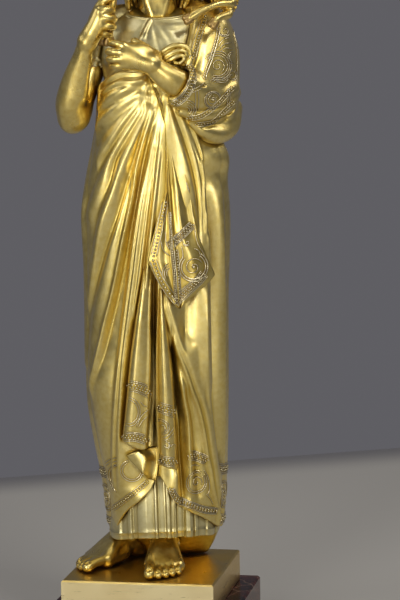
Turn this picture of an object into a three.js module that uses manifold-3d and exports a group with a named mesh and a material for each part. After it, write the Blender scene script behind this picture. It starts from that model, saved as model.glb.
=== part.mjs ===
// Gilt figure of a young shepherd with a lamb across the shoulders, on a gilt plinth and a marble base.
// Millimetres, +Z up. The origin is the centre of the underside, and the front faces -Y.

import * as THREE from "three";
import Module from "manifold-3d";

const wasm = await Module();
wasm.setup();
const { Manifold, Mesh } = wasm;

// Driving dimensions
const BASE_SIDE = 99;
const BASE_HEIGHT = 21;
const BASE_BEVEL = 1.2;
const PLINTH_SIDE = 80;
const PLINTH_HEIGHT = 16;
const PLINTH_BEVEL = 0.8;
const TOUCH_GAP = 0.3;
const FIGURE_TURN = THREE.MathUtils.degToRad(12);
const FIGURE_FLOOR = BASE_HEIGHT + PLINTH_HEIGHT + TOUCH_GAP;
const FIGURE_TRIANGLES = 9900;

// Heights above the plinth
const TUNIC_HEM = 18;
const TUNIC_TOP = 60;
const CHEST_FOOT = 225;
const SHOULDERS = 288;
const NECK_FOOT = 284;
const CHIN = 309;
const CROWN = 359;

// Draped body
// Each list gives [height, place] of one side of the body, read as a smooth curve.
const BODY_LEFT = curve([[0, -20], [24, -22], [46, -24.5], [68, -28.5], [90, -31.5], [142, -32], [184, -31.5],
  [205, -29.5], [225, -27], [256, -24.5], [285, -22]]);
const BODY_RIGHT = curve([[0, 36], [24, 37], [46, 38.5], [90, 40], [142, 40.5], [184, 41.5],
  [205, 40], [225, 37], [256, 36], [285, 36]]);
const BODY_FRONT = curve([[0, -19], [46, -22], [90, -24], [142, -25.5], [184, -26], [225, -24], [256, -22.5],
  [285, -15]]);
const BODY_BACK = curve([[0, 31], [46, 29], [90, 26.5], [142, 25], [184, 26], [225, 19], [256, 18], [285, 15]]);
const SECTION_POWER = 0.92;
const DEGREE = Math.PI / 180;

// The mantle's lower and upper edge as [turn in degrees, height], where turn 0 is the front.
const MANTLE_HEM = curve([[-180, 22], [-120, 21], [-80, 21.5], [-49, 28.5], [-33, 34.5], [-13, 46], [-6, 50],
  [2, 40], [12, 33], [37, 27.5], [62, 24], [90, 23], [130, 22], [180, 22]]);
const MANTLE_TOP = curve([[-180, 268], [-150, 259], [-120, 253], [-90, 251], [-60, 256], [-35, 261], [-8, 260],
  [20, 258], [45, 262], [70, 270], [95, 280], [130, 284], [155, 277], [180, 268]]);
const MANTLE_LEVELS = 84;
const MANTLE_COLUMNS = 176;
const MANTLE_THICKNESS = 1.6;

function curve(keys) {
  const last = keys.length - 1;
  const slope = (from, to) => (to[1] - from[1]) / (to[0] - from[0]);
  return (place) => {
    if (place <= keys[0][0]) return keys[0][1];
    if (place >= keys[last][0]) return keys[last][1];
    let i = 0;
    while (place > keys[i + 1][0]) i += 1;
    const start = keys[i];
    const end = keys[i + 1];
    const span = end[0] - start[0];
    const leave = slope(keys[Math.max(i - 1, 0)], end) * span;
    const arrive = slope(start, keys[Math.min(i + 2, last)]) * span;
    const t = (place - start[0]) / span;
    const rise = t * t * (3 - 2 * t);
    return start[1] + (end[1] - start[1]) * rise
      + leave * t * (1 - t) * (1 - t) - arrive * t * t * (1 - t);
  };
}

function smooth(low, high, value) {
  return THREE.MathUtils.smoothstep(value, low, high);
}

function bodySection(height) {
  const left = BODY_LEFT(height);
  const right = BODY_RIGHT(height);
  const front = BODY_FRONT(height);
  const back = BODY_BACK(height);
  return {
    x: (left + right) / 2,
    y: (front + back) / 2,
    wide: (right - left) / 2,
    deep: (back - front) / 2,
  };
}

function power(value, exponent) {
  return Math.sign(value) * Math.abs(value) ** exponent;
}

// Point on the draped body at a turn (radians from the front) and height, lifted off its surface.
function bodyPoint(turn, height, lift) {
  const section = bodySection(height);
  const across = Math.sin(turn);
  const ahead = Math.cos(turn);
  const normal = new THREE.Vector3(across / section.wide, -ahead / section.deep, 0).normalize();
  return new THREE.Vector3(
    section.x + section.wide * power(across, SECTION_POWER) + normal.x * lift,
    section.y - section.deep * power(ahead, SECTION_POWER) + normal.y * lift,
    height,
  );
}

function turnAt(x, height) {
  const section = bodySection(height);
  const across = THREE.MathUtils.clamp((x - section.x) / section.wide, -0.995, 0.995);
  return Math.asin(power(across, 1 / SECTION_POWER));
}

function girthRadius(height) {
  const section = bodySection(height);
  return (section.wide + section.deep) / 2;
}

// A fold on the front gives [height, x] points. A fold on the sides or back gives [height, degrees].
function frontFold(width, rise, points) {
  const place = curve(points);
  return makeFold(width, rise, points, (height) => turnAt(place(height), height));
}

function sideFold(width, rise, points) {
  const place = curve(points);
  return makeFold(width, rise, points, (height) => place(height) * DEGREE);
}

function makeFold(width, rise, points, turn) {
  const bottom = points[0][0];
  const top = points[points.length - 1][0];
  return { width, rise, bottom, top, turn };
}

// The folds run from the gather under the hand and fall to the hem.
const RIDGES = [
  frontFold(3.0, 1.6, [[236, -27], [246, -20], [253, -10], [258, -2]]),
  frontFold(3.4, 2.0, [[205, -30], [228, -28], [239.5, -21.5], [248.5, -10], [256, -1]]),
  frontFold(3.8, 2.4, [[165, -31], [194, -29], [207, -26.3], [221.7, -20.4], [233, -14], [250, -3]]),
  frontFold(6.4, 4.0, [[100, -30], [145, -30.5], [178, -26], [204, -17.7], [225, -8], [246, -1.5]]),
  frontFold(3.0, 3.4, [[104, -28.5], [134, -21], [160, -16], [183, -9.6], [206, -4.6], [238, 1.2]]),
  frontFold(3.2, 3.0, [[30, -19.5], [68, -18.3], [92, -16.8], [144, -11], [183, -4.3], [220, 0.5], [240, 3]]),
  frontFold(4.6, 5.0, [[60, -8.2], [100, -4.9], [146, -2.4], [175, -0.3], [216, 2.4], [242, 4]]),
  frontFold(2.8, 3.0, [[160, 6], [196, 5.6], [216, 6], [242, 7]]),
  frontFold(5.0, 4.0, [[50, 10], [66, 9.2], [92, 8.5], [121, 7.4], [141, 5.6]]),
  frontFold(3.2, 3.4, [[36, 34.1], [61, 29.7], [77, 25.8], [98, 19.7], [121, 11], [141, 5.4]]),
  frontFold(5.5, 2.8, [[70, 26], [98, 25], [120, 24.4], [145, 23]]),
  frontFold(6.0, 4.2, [[145, 34], [170, 33.4], [192, 31], [215, 27.9], [231, 21.5], [246, 17]]),
  frontFold(5.0, 2.4, [[35, 24], [62, 22]]),
  frontFold(5.0, 2.6, [[30, -14], [52, -10]]),
  sideFold(11, 2.6, [[30, 84], [140, 80], [205, 76]]),
  sideFold(9, 3.0, [[26, 112], [120, 112], [200, 108], [262, 104]]),
  sideFold(8, 3.2, [[24, 138], [130, 134], [210, 128], [272, 120]]),
  sideFold(9, 3.2, [[23, 168], [120, 162], [200, 148], [274, 130]]),
  sideFold(8, 3.2, [[23, 196], [110, 192], [190, 174], [240, 152], [272, 138]]),
  sideFold(8, 3.0, [[23, 226], [100, 224], [180, 208], [232, 180], [262, 155]]),
  sideFold(8, 2.8, [[24, 254], [90, 254], [170, 240], [222, 212], [250, 182]]),
  sideFold(6, 2.2, [[120, 270], [190, 254], [226, 232], [244, 208]]),
];

const CREASES = [
  frontFold(2.6, 4.5, [[66, -0.9], [98, 1.9], [131, 3.9]]),
  frontFold(3.4, 5.5, [[40, 17], [55, 16.5], [68, 15], [105, 13.6]]),
  frontFold(4.5, 2.4, [[63, 37.4], [126, 38.6], [177, 37], [217, 32.8]]),
  frontFold(2.6, 1.8, [[200, -28.9], [220, -22.4], [232, -12]]),
];

function foldStrength(fold, turn, height) {
  if (height < fold.bottom - 6 || height > fold.top + 6) return 0;
  const step = 1;
  const middle = fold.turn(height);
  const slant = (fold.turn(height + step) - middle) * girthRadius(height);
  const apart = Math.abs(wrap(turn - middle)) * girthRadius(height) / Math.hypot(1, slant);
  const reach = apart / fold.width;
  if (reach >= 1) return 0;
  const ends = smooth(fold.bottom - 6, fold.bottom + 8, height)
    * (1 - smooth(fold.top - 8, fold.top + 6, height));
  return fold.rise * ends * (1 - reach * reach) ** 0.9;
}

function wrap(turn) {
  return turn - 2 * Math.PI * Math.round(turn / (2 * Math.PI));
}

function foldLift(turn, height) {
  let raised = 0;
  for (const ridge of RIDGES) raised += foldStrength(ridge, turn, height) ** 4;
  let sunk = 0;
  for (const crease of CREASES) sunk = Math.max(sunk, foldStrength(crease, turn, height));
  return raised ** 0.25 - sunk;
}

// Closed solids
function solid(points, faces) {
  let volume = 0;
  for (const [a, b, c] of faces) {
    volume += points[a].dot(new THREE.Vector3().crossVectors(points[b], points[c]));
  }
  const triangles = faces.map(([a, b, c]) => (volume > 0 ? [a, b, c] : [a, c, b]));
  return new Manifold(new Mesh({
    numProp: 3,
    vertProperties: Float32Array.from(points.flatMap((point) => point.toArray())),
    triVerts: Uint32Array.from(triangles.flat()),
  }));
}

function centre(points) {
  const sum = new THREE.Vector3();
  for (const point of points) sum.add(point);
  return sum.divideScalar(points.length);
}

// Rings of equal count, joined side by side, with a fan of faces over each end.
function loft(rings) {
  const count = rings[0].length;
  const points = rings.flat();
  const faces = [];
  for (let row = 0; row + 1 < rings.length; row += 1) {
    for (let i = 0; i < count; i += 1) {
      const next = (i + 1) % count;
      const low = row * count;
      const high = low + count;
      faces.push([low + i, low + next, high + next], [low + i, high + next, high + i]);
    }
  }
  const start = points.push(centre(rings[0])) - 1;
  const end = points.push(centre(rings[rings.length - 1])) - 1;
  const top = (rings.length - 1) * count;
  for (let i = 0; i < count; i += 1) {
    const next = (i + 1) % count;
    faces.push([start, next, i], [end, top + i, top + next]);
  }
  return solid(points, faces);
}

function join(parts) {
  return parts.reduce((whole, part) => whole.add(part));
}

// Small hollows closed in between joined parts are filled, as in one casting.
function fillHollows(shape) {
  return join(shape.decompose().filter((shell) => shell.volume() > 0));
}

function toGeometry(points, faces) {
  const geometry = new THREE.BufferGeometry();
  geometry.setFromPoints(points);
  geometry.setIndex(faces.flat());
  return geometry;
}

function pointsOf(shape) {
  const { vertProperties } = shape.getMesh();
  const points = [];
  for (let i = 0; i < vertProperties.length; i += 3) {
    points.push(new THREE.Vector3().fromArray(vertProperties, i));
  }
  return points;
}

function facesOf(shape) {
  const { triVerts } = shape.getMesh();
  const faces = [];
  for (let i = 0; i < triVerts.length; i += 3) faces.push([...triVerts.slice(i, i + 3)]);
  return faces;
}

// Thinning
// A closed mesh is thinned by merging the pairs of neighbours whose loss moves its surface least.
// The spread of each point holds the sum of the squared distances to the planes of its faces.
function planeSpread(a, b, c) {
  const normal = new THREE.Vector3().crossVectors(b.clone().sub(a), c.clone().sub(a));
  const area = normal.length();
  if (area < 1e-9) return new Array(10).fill(0);
  normal.divideScalar(area);
  const plane = [normal.x, normal.y, normal.z, -normal.dot(a)];
  const spread = [];
  for (let i = 0; i < 4; i += 1) {
    for (let j = i; j < 4; j += 1) spread.push(area * plane[i] * plane[j]);
  }
  return spread;
}

function spreadAt(first, second, { x, y, z }) {
  const s = first.map((value, i) => value + second[i]);
  return s[0] * x * x + 2 * s[1] * x * y + 2 * s[2] * x * z + 2 * s[3] * x
    + s[4] * y * y + 2 * s[5] * y * z + 2 * s[6] * y + s[7] * z * z + 2 * s[8] * z + s[9];
}

class ThinMesh {
  constructor(points, faces) {
    this.points = points.map((point) => point.clone());
    this.faces = faces.map((face) => [...face]);
    this.count = faces.length;
    this.around = points.map(() => new Set());
    this.spread = points.map(() => new Array(10).fill(0));
    faces.forEach((face, index) => {
      const added = planeSpread(...face.map((corner) => points[corner]));
      for (const corner of face) {
        this.around[corner].add(index);
        this.spread[corner] = this.spread[corner].map((value, i) => value + added[i]);
      }
    });
  }

  neighbours(point) {
    const found = new Set();
    for (const index of this.around[point]) {
      for (const corner of this.faces[index]) if (corner !== point) found.add(corner);
    }
    return found;
  }

  cheapestPlace(a, b) {
    const from = this.points[a];
    const to = this.points[b];
    const places = [from, to, from.clone().lerp(to, 0.5)];
    let best = { cost: Infinity };
    for (const place of places) {
      const cost = spreadAt(this.spread[a], this.spread[b], place) + 1e-4 * from.distanceToSquared(to);
      if (cost < best.cost) best = { cost, place: place.clone(), a, b };
    }
    return best;
  }

  pairs() {
    const pairs = [];
    this.around.forEach((own, a) => {
      if (own.size === 0) return;
      for (const b of this.neighbours(a)) if (b > a) pairs.push(this.cheapestPlace(a, b));
    });
    return pairs.sort((one, other) => one.cost - other.cost);
  }

  keepsFacing(moved, other, place) {
    for (const index of this.around[moved]) {
      const face = this.faces[index];
      if (face.includes(other)) continue;
      const before = new THREE.Triangle(...face.map((corner) => this.points[corner]));
      const after = new THREE.Triangle(
        ...face.map((corner) => (corner === moved ? place : this.points[corner])),
      );
      const turned = before.getNormal(new THREE.Vector3()).dot(after.getNormal(new THREE.Vector3()));
      if (turned < 0.3 || after.getArea() < 1e-3) return false;
    }
    return true;
  }

  canMerge({ a, b, place }) {
    const shared = [...this.neighbours(a)].filter((corner) => this.around[corner].size > 0
      && this.neighbours(b).has(corner));
    return shared.length === 2 && this.keepsFacing(a, b, place) && this.keepsFacing(b, a, place);
  }

  merge({ a, b, place }) {
    for (const index of [...this.around[b]]) {
      const face = this.faces[index];
      if (face.includes(a)) {
        for (const corner of face) this.around[corner].delete(index);
        this.count -= 1;
      } else {
        face[face.indexOf(b)] = a;
        this.around[a].add(index);
      }
    }
    this.around[b].clear();
    this.points[a].copy(place);
    this.spread[a] = this.spread[a].map((value, i) => value + this.spread[b][i]);
  }

  thinTo(target) {
    while (this.count > target) {
      const before = this.count;
      const touched = new Set();
      const pairs = this.pairs();
      for (const pair of pairs.slice(0, Math.ceil(pairs.length / 4))) {
        if (this.count <= target) break;
        if (touched.has(pair.a) || touched.has(pair.b) || !this.canMerge(pair)) continue;
        this.merge(pair);
        touched.add(pair.a);
        for (const corner of this.neighbours(pair.a)) touched.add(corner);
      }
      if (this.count === before) break;
    }
    const kept = this.points.map((_, point) => point).filter((point) => this.around[point].size > 0);
    const place = new Map(kept.map((point, i) => [point, i]));
    const live = new Set(kept.flatMap((point) => [...this.around[point]]));
    return toGeometry(
      kept.map((point) => this.points[point]),
      [...live].map((index) => this.faces[index].map((corner) => place.get(corner))),
    );
  }
}

// A limb is a tube along a smooth path of stops [x, y, z, radius, flatness], with rounded ends.
function limb(stops, sides, steps, up = [0, 0, 1]) {
  const path = new THREE.CatmullRomCurve3(stops.map(([x, y, z]) => new THREE.Vector3(x, y, z)), false,
    "centripetal");
  const lastStop = stops.length - 1;
  const radius = curve(stops.map((stop, i) => [i / lastStop, stop[3]]));
  const flatness = curve(stops.map((stop, i) => [i / lastStop, stop[4] ?? 1]));
  const rings = [];
  const addRing = (at, scale, along) => {
    const middle = path.getPoint(at);
    const forward = path.getTangent(at);
    const side = new THREE.Vector3().crossVectors(forward, new THREE.Vector3(...up)).normalize();
    const above = new THREE.Vector3().crossVectors(side, forward);
    middle.addScaledVector(forward, along * radius(at));
    const ring = [];
    for (let i = 0; i < sides; i += 1) {
      const angle = 2 * Math.PI * i / sides;
      ring.push(middle.clone()
        .addScaledVector(side, Math.cos(angle) * radius(at) * scale)
        .addScaledVector(above, Math.sin(angle) * radius(at) * scale * flatness(at)));
    }
    rings.push(ring);
  };
  addRing(0, 0.45, -0.85);
  for (let i = 0; i <= steps; i += 1) addRing(i / steps, 1, 0);
  addRing(1, 0.45, 0.85);
  return loft(rings);
}

function ball(x, y, z, wide, deep, tall, rows = 8, sides = 12) {
  const rings = [];
  for (let row = 0; row <= rows; row += 1) {
    const tilt = Math.PI * (0.04 + 0.92 * row / rows);
    const ring = [];
    for (let i = 0; i < sides; i += 1) {
      const angle = 2 * Math.PI * i / sides;
      ring.push(new THREE.Vector3(
        x + wide * Math.sin(tilt) * Math.cos(angle),
        y + deep * Math.sin(tilt) * Math.sin(angle),
        z - tall * Math.cos(tilt),
      ));
    }
    rings.push(ring);
  }
  return loft(rings);
}

// Mantle
// The columns of the mesh stand closer together over the front, where the folds are finer.
function mantleTurns() {
  const turns = [];
  for (let i = 0; i < MANTLE_COLUMNS; i += 1) {
    const even = 2 * Math.PI * i / MANTLE_COLUMNS - Math.PI;
    turns.push(even - 0.45 * Math.sin(even));
  }
  return turns;
}

function mantle() {
  const rings = [];
  const turns = mantleTurns();
  const ringAt = (share, lift, drop = 0) => turns.map((turn) => {
    const degrees = turn / DEGREE;
    const height = THREE.MathUtils.lerp(MANTLE_HEM(degrees), MANTLE_TOP(degrees), share) + drop;
    return bodyPoint(turn, height, foldLift(turn, height) + lift);
  });
  rings.push(ringAt(0, -2 * MANTLE_THICKNESS - 4, 12));
  rings.push(ringAt(0, -MANTLE_THICKNESS, 1.2));
  for (let level = 0; level <= MANTLE_LEVELS; level += 1) {
    rings.push(ringAt(level / MANTLE_LEVELS, 0));
  }
  rings.push(ringAt(1, -2 * MANTLE_THICKNESS, -1));
  return loft(rings);
}

// A column fold stands out of the mantle and hangs hollow at its foot.
function columnFold(centreLine, halfWidth, rise, top, leftFoot, rightFoot) {
  const sides = 12;
  const levels = 9;
  const shell = (inset, from, to) => {
    const rings = [];
    for (let level = 0; level <= levels; level += 1) {
      const share = level / levels;
      const ring = [];
      for (let i = 0; i <= sides; i += 1) {
        const across = 2 * i / sides - 1;
        const foot = THREE.MathUtils.lerp(leftFoot, rightFoot, i / sides) + from;
        const height = THREE.MathUtils.lerp(foot, top - to, share);
        const half = halfWidth(height) - inset;
        const x = centreLine(height) + across * half;
        const out = (rise(height) - inset) * Math.sqrt(Math.max(0, 1 - across * across));
        ring.push(bodyPoint(turnAt(x, height), height, out));
      }
      for (let i = 0; i < 3; i += 1) {
        const front = ring[sides - (i + 1) * Math.floor(sides / 4)];
        const height = front.z;
        ring.push(bodyPoint(turnAt(front.x, height), height, -5));
      }
      rings.push(ring);
    }
    return loft(rings);
  };
  return shell(0, 0, 0).subtract(shell(1.4, -4, top - Math.max(leftFoot, rightFoot) - 9));
}

function columnFolds() {
  const first = columnFold(
    curve([[60, -8.4], [67, -8.2], [100, -4.7], [118, -4.4], [146, -2.4]]),
    curve([[60, 6.6], [100, 5.9], [150, 2]]),
    curve([[60, 6.5], [100, 6], [150, 1]]),
    150, 68, 65,
  );
  const second = columnFold(
    curve([[50, 9.8], [66, 9.2], [92, 8.5], [121, 7.4], [141, 5.6]]),
    curve([[50, 5.4], [92, 5.4], [146, 2]]),
    curve([[50, 6.5], [92, 5.8], [146, 1]]),
    146, 57.5, 52,
  );
  return [first, second];
}

// The pointed end of the mantle hangs over the hip, in front of the other folds.
const FLAP_LEFT = curve([[141, 14.4], [165, 0.8], [193, 8], [219, 10.4], [248, 9]]);
const FLAP_RIGHT = curve([[141, 15.4], [160, 33.5], [167, 30.5], [186, 24.2], [199, 22.6], [216, 16], [248, 13]]);
const FLAP_MIDDLE = curve([[141, 14.9], [173, 12.6], [206, 10.6], [248, 11]]);

function flapLift(x, height) {
  const left = FLAP_LEFT(height);
  const right = FLAP_RIGHT(height);
  const middle = FLAP_MIDDLE(height);
  const side = x < middle ? (middle - x) / Math.max(middle - left, 0.1) : (x - middle) / Math.max(right - middle, 0.1);
  return 3.2 + 1.8 * (1 - smooth(0, 0.8, side));
}

function flap() {
  const levels = [141, 147, 153, 160, 167, 176, 186, 196, 206, 217, 230, 246];
  const across = 8;
  const rings = levels.map((height) => {
    const front = [];
    const back = [];
    for (let i = 0; i <= across; i += 1) {
      const x = THREE.MathUtils.lerp(FLAP_LEFT(height), FLAP_RIGHT(height), i / across);
      front.push(bodyPoint(turnAt(x, height), height, flapLift(x, height)));
      back.unshift(bodyPoint(turnAt(x, height), height, i === 0 || i === across ? 1.2 : -2));
    }
    return [...front, ...back];
  });
  return loft(rings);
}

// Tunic
const PLEATS = [-13.3, -9.1, -5.4, 2.1, 8.9, 12.9, 20.6, 24.7, 30.5, 35];
const BACK_PLEATS = 15;

function pleatTurns() {
  const turns = PLEATS.map((x) => turnAt(x, TUNIC_HEM + 10));
  const first = turns[0];
  const last = turns[turns.length - 1];
  const left = 2 * Math.PI - (last - first);
  for (let i = 1; i < BACK_PLEATS; i += 1) turns.push(wrap(last + left * i / BACK_PLEATS));
  return turns.sort((a, b) => a - b);
}

function tunicSkirt() {
  const crests = pleatTurns();
  const ringAt = (height, lift, depth) => crests.flatMap((turn, i) => {
    const next = i + 1 < crests.length ? crests[i + 1] : crests[0] + 2 * Math.PI;
    const flare = 1.6 * (1 - smooth(TUNIC_HEM, TUNIC_HEM + 16, height));
    return [0, 0.2, 0.5, 0.8].map((share) => {
      const at = turn + (next - turn) * share;
      const sunk = share === 0 ? 0 : depth;
      return bodyPoint(at, height, lift + flare - sunk);
    });
  });
  return loft([
    ringAt(TUNIC_HEM, -1, 2),
    ringAt(TUNIC_HEM + 14, -1.6, 2),
    ringAt(TUNIC_TOP, -3, 2),
  ]);
}

// Under the hem the cast figure closes to a smooth foot that stands on the plinth.
function standingFoot() {
  const levels = [[0, -9], [2.5, -6.4], [7, -4.6], [12, -3.8], [26, -8]];
  const sides = 20;
  return loft(levels.map(([height, lift]) => {
    const ring = [];
    for (let i = 0; i < sides; i += 1) {
      const turn = 2 * Math.PI * i / sides;
      const inFront = 7 * Math.max(0, Math.cos(turn));
      const point = bodyPoint(turn, 0, lift - inFront);
      ring.push(new THREE.Vector3(point.x, point.y, height));
    }
    return ring;
  }));
}

function chest() {
  const sides = 24;
  const levels = [
    [CHEST_FOOT, -2.5, 1, 0], [240, -1.2, 1, 0], [256, -1, 0.99, 0], [268, -0.4, 0.98, 0],
    [277, 0, 0.96, 0], [284, 0, 0.86, 0.5], [289, 0, 0.66, 1], [293, 0, 0.42, 1.5],
  ];
  return loft(levels.map(([height, lift, scale, back]) => {
    const ring = [];
    for (let i = 0; i < sides; i += 1) {
      const turn = 2 * Math.PI * i / sides;
      const point = bodyPoint(turn, height, lift + tunicFold(turn, height));
      const middle = new THREE.Vector3(7.5, 1 + back, height);
      ring.push(middle.lerp(point, scale));
    }
    return ring;
  }));
}

// Soft slanting folds of the tunic over the breast.
function tunicFold(turn, height) {
  const fade = smooth(232, 250, height) * (1 - smooth(276, 286, height));
  return 0.9 * fade * Math.sin(9 * turn + height * 0.08);
}

// Sleeve of the mantle over the left arm, on the viewer's right
function sleeve() {
  return [
    limb([[26, 4, 281, 9], [35, 3, 280, 11], [38.5, 1, 262, 11.2], [38, -3, 245, 11.5], [33, -11, 240, 10.5],
      [25, -19, 245, 9.6], [18.5, -25, 250.5, 9.4]], 12, 9),
    limb([[40, 4, 270, 9.5], [40.5, 4, 250, 10.5], [38.5, 0, 234, 9.8], [33, -7, 231, 8]], 10, 5),
    limb([[12, -29.5, 247, 1.6], [17, -32, 250, 1.9], [21.5, -33.2, 257, 1.9], [23, -30, 264, 1.8],
      [26.5, -24, 272, 1.8], [31, -18, 283, 1.8], [32, -10, 291, 1.6]], 5, 9),
    limb([[20, -33, 241, 1.8], [30, -26, 236.5, 2.4], [40, -14, 241, 2.4], [47.5, -6, 248, 1.8]], 5, 5),
    limb([[8, -27, 264, 2.4], [9.5, -24, 269, 2.6], [13.5, -23, 273.5, 2.8], [18.5, -22, 274, 2.8],
      [23, -22, 268, 3]], 6, 6),
  ];
}

// Arms and hands
function rightArm() {
  return [
    limb([[-14, 4, 285, 8.5], [-21, 4, 280, 9], [-27, 2, 263, 7.6], [-33, 0, 247, 7.6], [-36, -4, 238, 8.2]],
      12, 8),
    limb([[-37.5, -6, 238.5, 8.6], [-38.4, -9, 244, 8.2], [-36.4, -13, 255, 6.9], [-31.8, -18, 267, 5],
      [-28.8, -20.5, 275, 4.2]], 12, 8),
  ];
}

function leftForearm() {
  return [
    limb([[31, -16, 247, 7], [22, -24, 252.5, 6.9], [13, -29.5, 258, 6.3], [4, -32, 264.5, 5.4]], 10, 5),
  ];
}

function finger(stops, radius) {
  return limb(stops.map(([x, y, z], i) => [x, y, z, radius * (1 - 0.07 * i)]), 5, 4, [0.3, 0.2, 1]);
}

function rightHand() {
  const parts = [
    limb([[-28.6, -20.5, 274, 4.2, 1.1], [-25.5, -22.5, 281, 3.4, 2], [-21.5, -24, 288.5, 3, 2.6]], 12, 4,
      [0.8, 0.2, -0.3]),
  ];
  const knuckles = [[-19.8, 294], [-18, 289.8], [-17, 285.4], [-18, 281]];
  for (const [x, z] of knuckles) {
    parts.push(finger([[x - 4, -23.6, z - 1.2], [x, -24.6, z], [x + 2.8, -22, z - 0.4], [x + 3, -17.5, z - 0.8],
      [x - 1, -16, z - 1]], 2.3));
  }
  parts.push(finger([[-25, -20, 284], [-22, -16.5, 291], [-18, -15, 296.5], [-13.5, -17, 298]], 2.5));
  return parts;
}

function leftHand() {
  const parts = [
    limb([[6, -31.5, 263.5, 5, 0.9], [-1, -33, 267, 4.3, 1.3], [-9, -33.5, 270, 3.6, 2]], 12, 4, [0.5, 0, 1]),
  ];
  for (let i = 0; i < 4; i += 1) {
    const z = 275.8 - 3.6 * i;
    const x = -13 + 0.3 * i;
    parts.push(finger([[x + 6, -33, z - 1], [x, -34, z], [x - 5, -31.5, z], [x - 5.4, -26.5, z - 0.4],
      [x, -25, z - 0.6]], 2.3));
  }
  parts.push(finger([[4.5, -33, 268], [-0.5, -35, 274], [-4, -35, 278], [-8, -33.5, 280.5]], 2.3));
  return parts;
}

// Feet
// A foot is built along its own length with the heel at 0 and then turned and moved into place.
function foot(heelX, heelY, turn, mirror) {
  const length = 51;
  const side = mirror ? -1 : 1;
  const place = (along, across, up) => {
    const angle = turn;
    return [
      heelX + along * Math.sin(angle) + side * across * Math.cos(angle),
      heelY - along * Math.cos(angle) + side * across * Math.sin(angle),
      up,
    ];
  };
  const outline = [[0, 5], [6, 7], [18, 7], [30, 9.5], [37, 10.5], [43, 10]];
  const heights = curve([[0, 12], [8, 16], [16, 15], [28, 9.5], [38, 6], [43, 4.5]]);
  const rings = outline.map(([along, half]) => {
    const ring = [];
    const top = heights(along);
    const count = 9;
    for (let i = 0; i < count; i += 1) {
      const angle = Math.PI * i / (count - 1);
      const across = -Math.cos(angle) * half;
      const crest = Math.sin(angle) ** 0.75 * top * (1 - 0.12 * (across / half));
      ring.push(new THREE.Vector3(...place(along, across, i === 0 || i === count - 1 ? 0 : crest)));
    }
    return ring;
  });
  const parts = [loft(rings)];
  const toes = [[-7.6, 9, 3.1], [-2.6, 8.4, 2.3], [1.4, 7.2, 2.2], [5, 5.6, 2.1], [8.4, 3.4, 2]];
  for (const [across, reach, radius] of toes) {
    const start = length - 12;
    const toe = limb([
      [...place(start, across, radius + 0.9), radius],
      [...place(start + reach * 0.5, across, radius + 1), radius * 0.86],
      [...place(start + reach, across, radius * 0.98), radius],
    ], 6, 2);
    parts.push(toe);
  }
  const ankle = limb([[...place(9, 0, 9), 6.8], [...place(10, 0, 24), 7]], 8, 1, [1, 0, 0]);
  parts.push(ankle);
  return parts;
}

function feet() {
  const soles = [
    ...foot(7.2, 15.5, -8 * DEGREE, true),
    ...foot(-5, 25, -43 * DEGREE, false),
  ];
  return join(soles).trimByPlane([0, 0, 1], 0);
}

// Head
const HEAD_MIDDLE = (CHIN + CROWN) / 2;
const HEAD_HALF = (CROWN - CHIN) / 2;
const HEAD_X = 7.5;
const HEAD_Y = -5;

function bump(x, z, atX, atZ, wide, tall) {
  return Math.exp(-(((x - atX) / wide) ** 2) - ((z - atZ) / tall) ** 2);
}

// Relief of the face over the skull, with x across and z up from the middle of the head.
function faceRelief(x, z) {
  const across = Math.abs(x);
  const nose = 4.6 * bump(x, z, 0, -5.2, 2.1, 2.6) + 2.6 * bump(x, z, 0, -1.2, 1.7, 4);
  const brow = 1.3 * bump(across, z, 5, 3.2, 4.6, 1.8);
  const socket = -2.1 * bump(across, z, 5.4, -0.2, 3, 2.3);
  const lid = 1.2 * bump(across, z, 5.4, -0.4, 2, 1.1);
  const cheek = 1.1 * bump(across, z, 7.6, -6.4, 3.4, 3.6);
  const mouth = 1.9 * bump(x, z, 0, -11.4, 3.8, 1.2) + 1.8 * bump(x, z, 0, -13.6, 3, 1.1);
  const parting = -1 * bump(x, z, 0, -12.4, 4.4, 0.7);
  const chin = 2.8 * bump(x, z, 0, -19.6, 4.4, 3.2);
  return nose + brow + socket + lid + cheek + mouth + parting + chin;
}

function head() {
  const rows = 17;
  const sides = 22;
  const rings = [];
  for (let row = 0; row <= rows; row += 1) {
    const tilt = Math.PI * (0.05 + 0.9 * row / rows);
    const up = -Math.cos(tilt);
    const jaw = up < 0 ? 1 - 0.24 * up * up : 1;
    const ring = [];
    for (let i = 0; i < sides; i += 1) {
      const spread = 2 * Math.PI * i / sides;
      const turn = spread + 0.32 * Math.sin(spread) * -1;
      const across = 15.6 * jaw * Math.sin(tilt) * Math.sin(turn);
      const ahead = 18.6 * Math.sin(tilt) * Math.cos(turn) * (up < 0 && Math.cos(turn) < 0 ? 0.82 : 1);
      const facing = Math.max(0, Math.cos(turn)) ** 0.5;
      const relief = facing * faceRelief(across, HEAD_HALF * up);
      ring.push(new THREE.Vector3(HEAD_X + across, HEAD_Y - ahead - relief, HEAD_MIDDLE + HEAD_HALF * up));
    }
    rings.push(ring);
  }
  return loft(rings);
}

function neck() {
  return limb([[7.5, 1, NECK_FOOT, 11, 1], [7.5, -1, 296, 9.6, 1], [7.5, -3, 312, 9.4, 1]], 10, 3, [0, 1, 0]);
}

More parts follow.
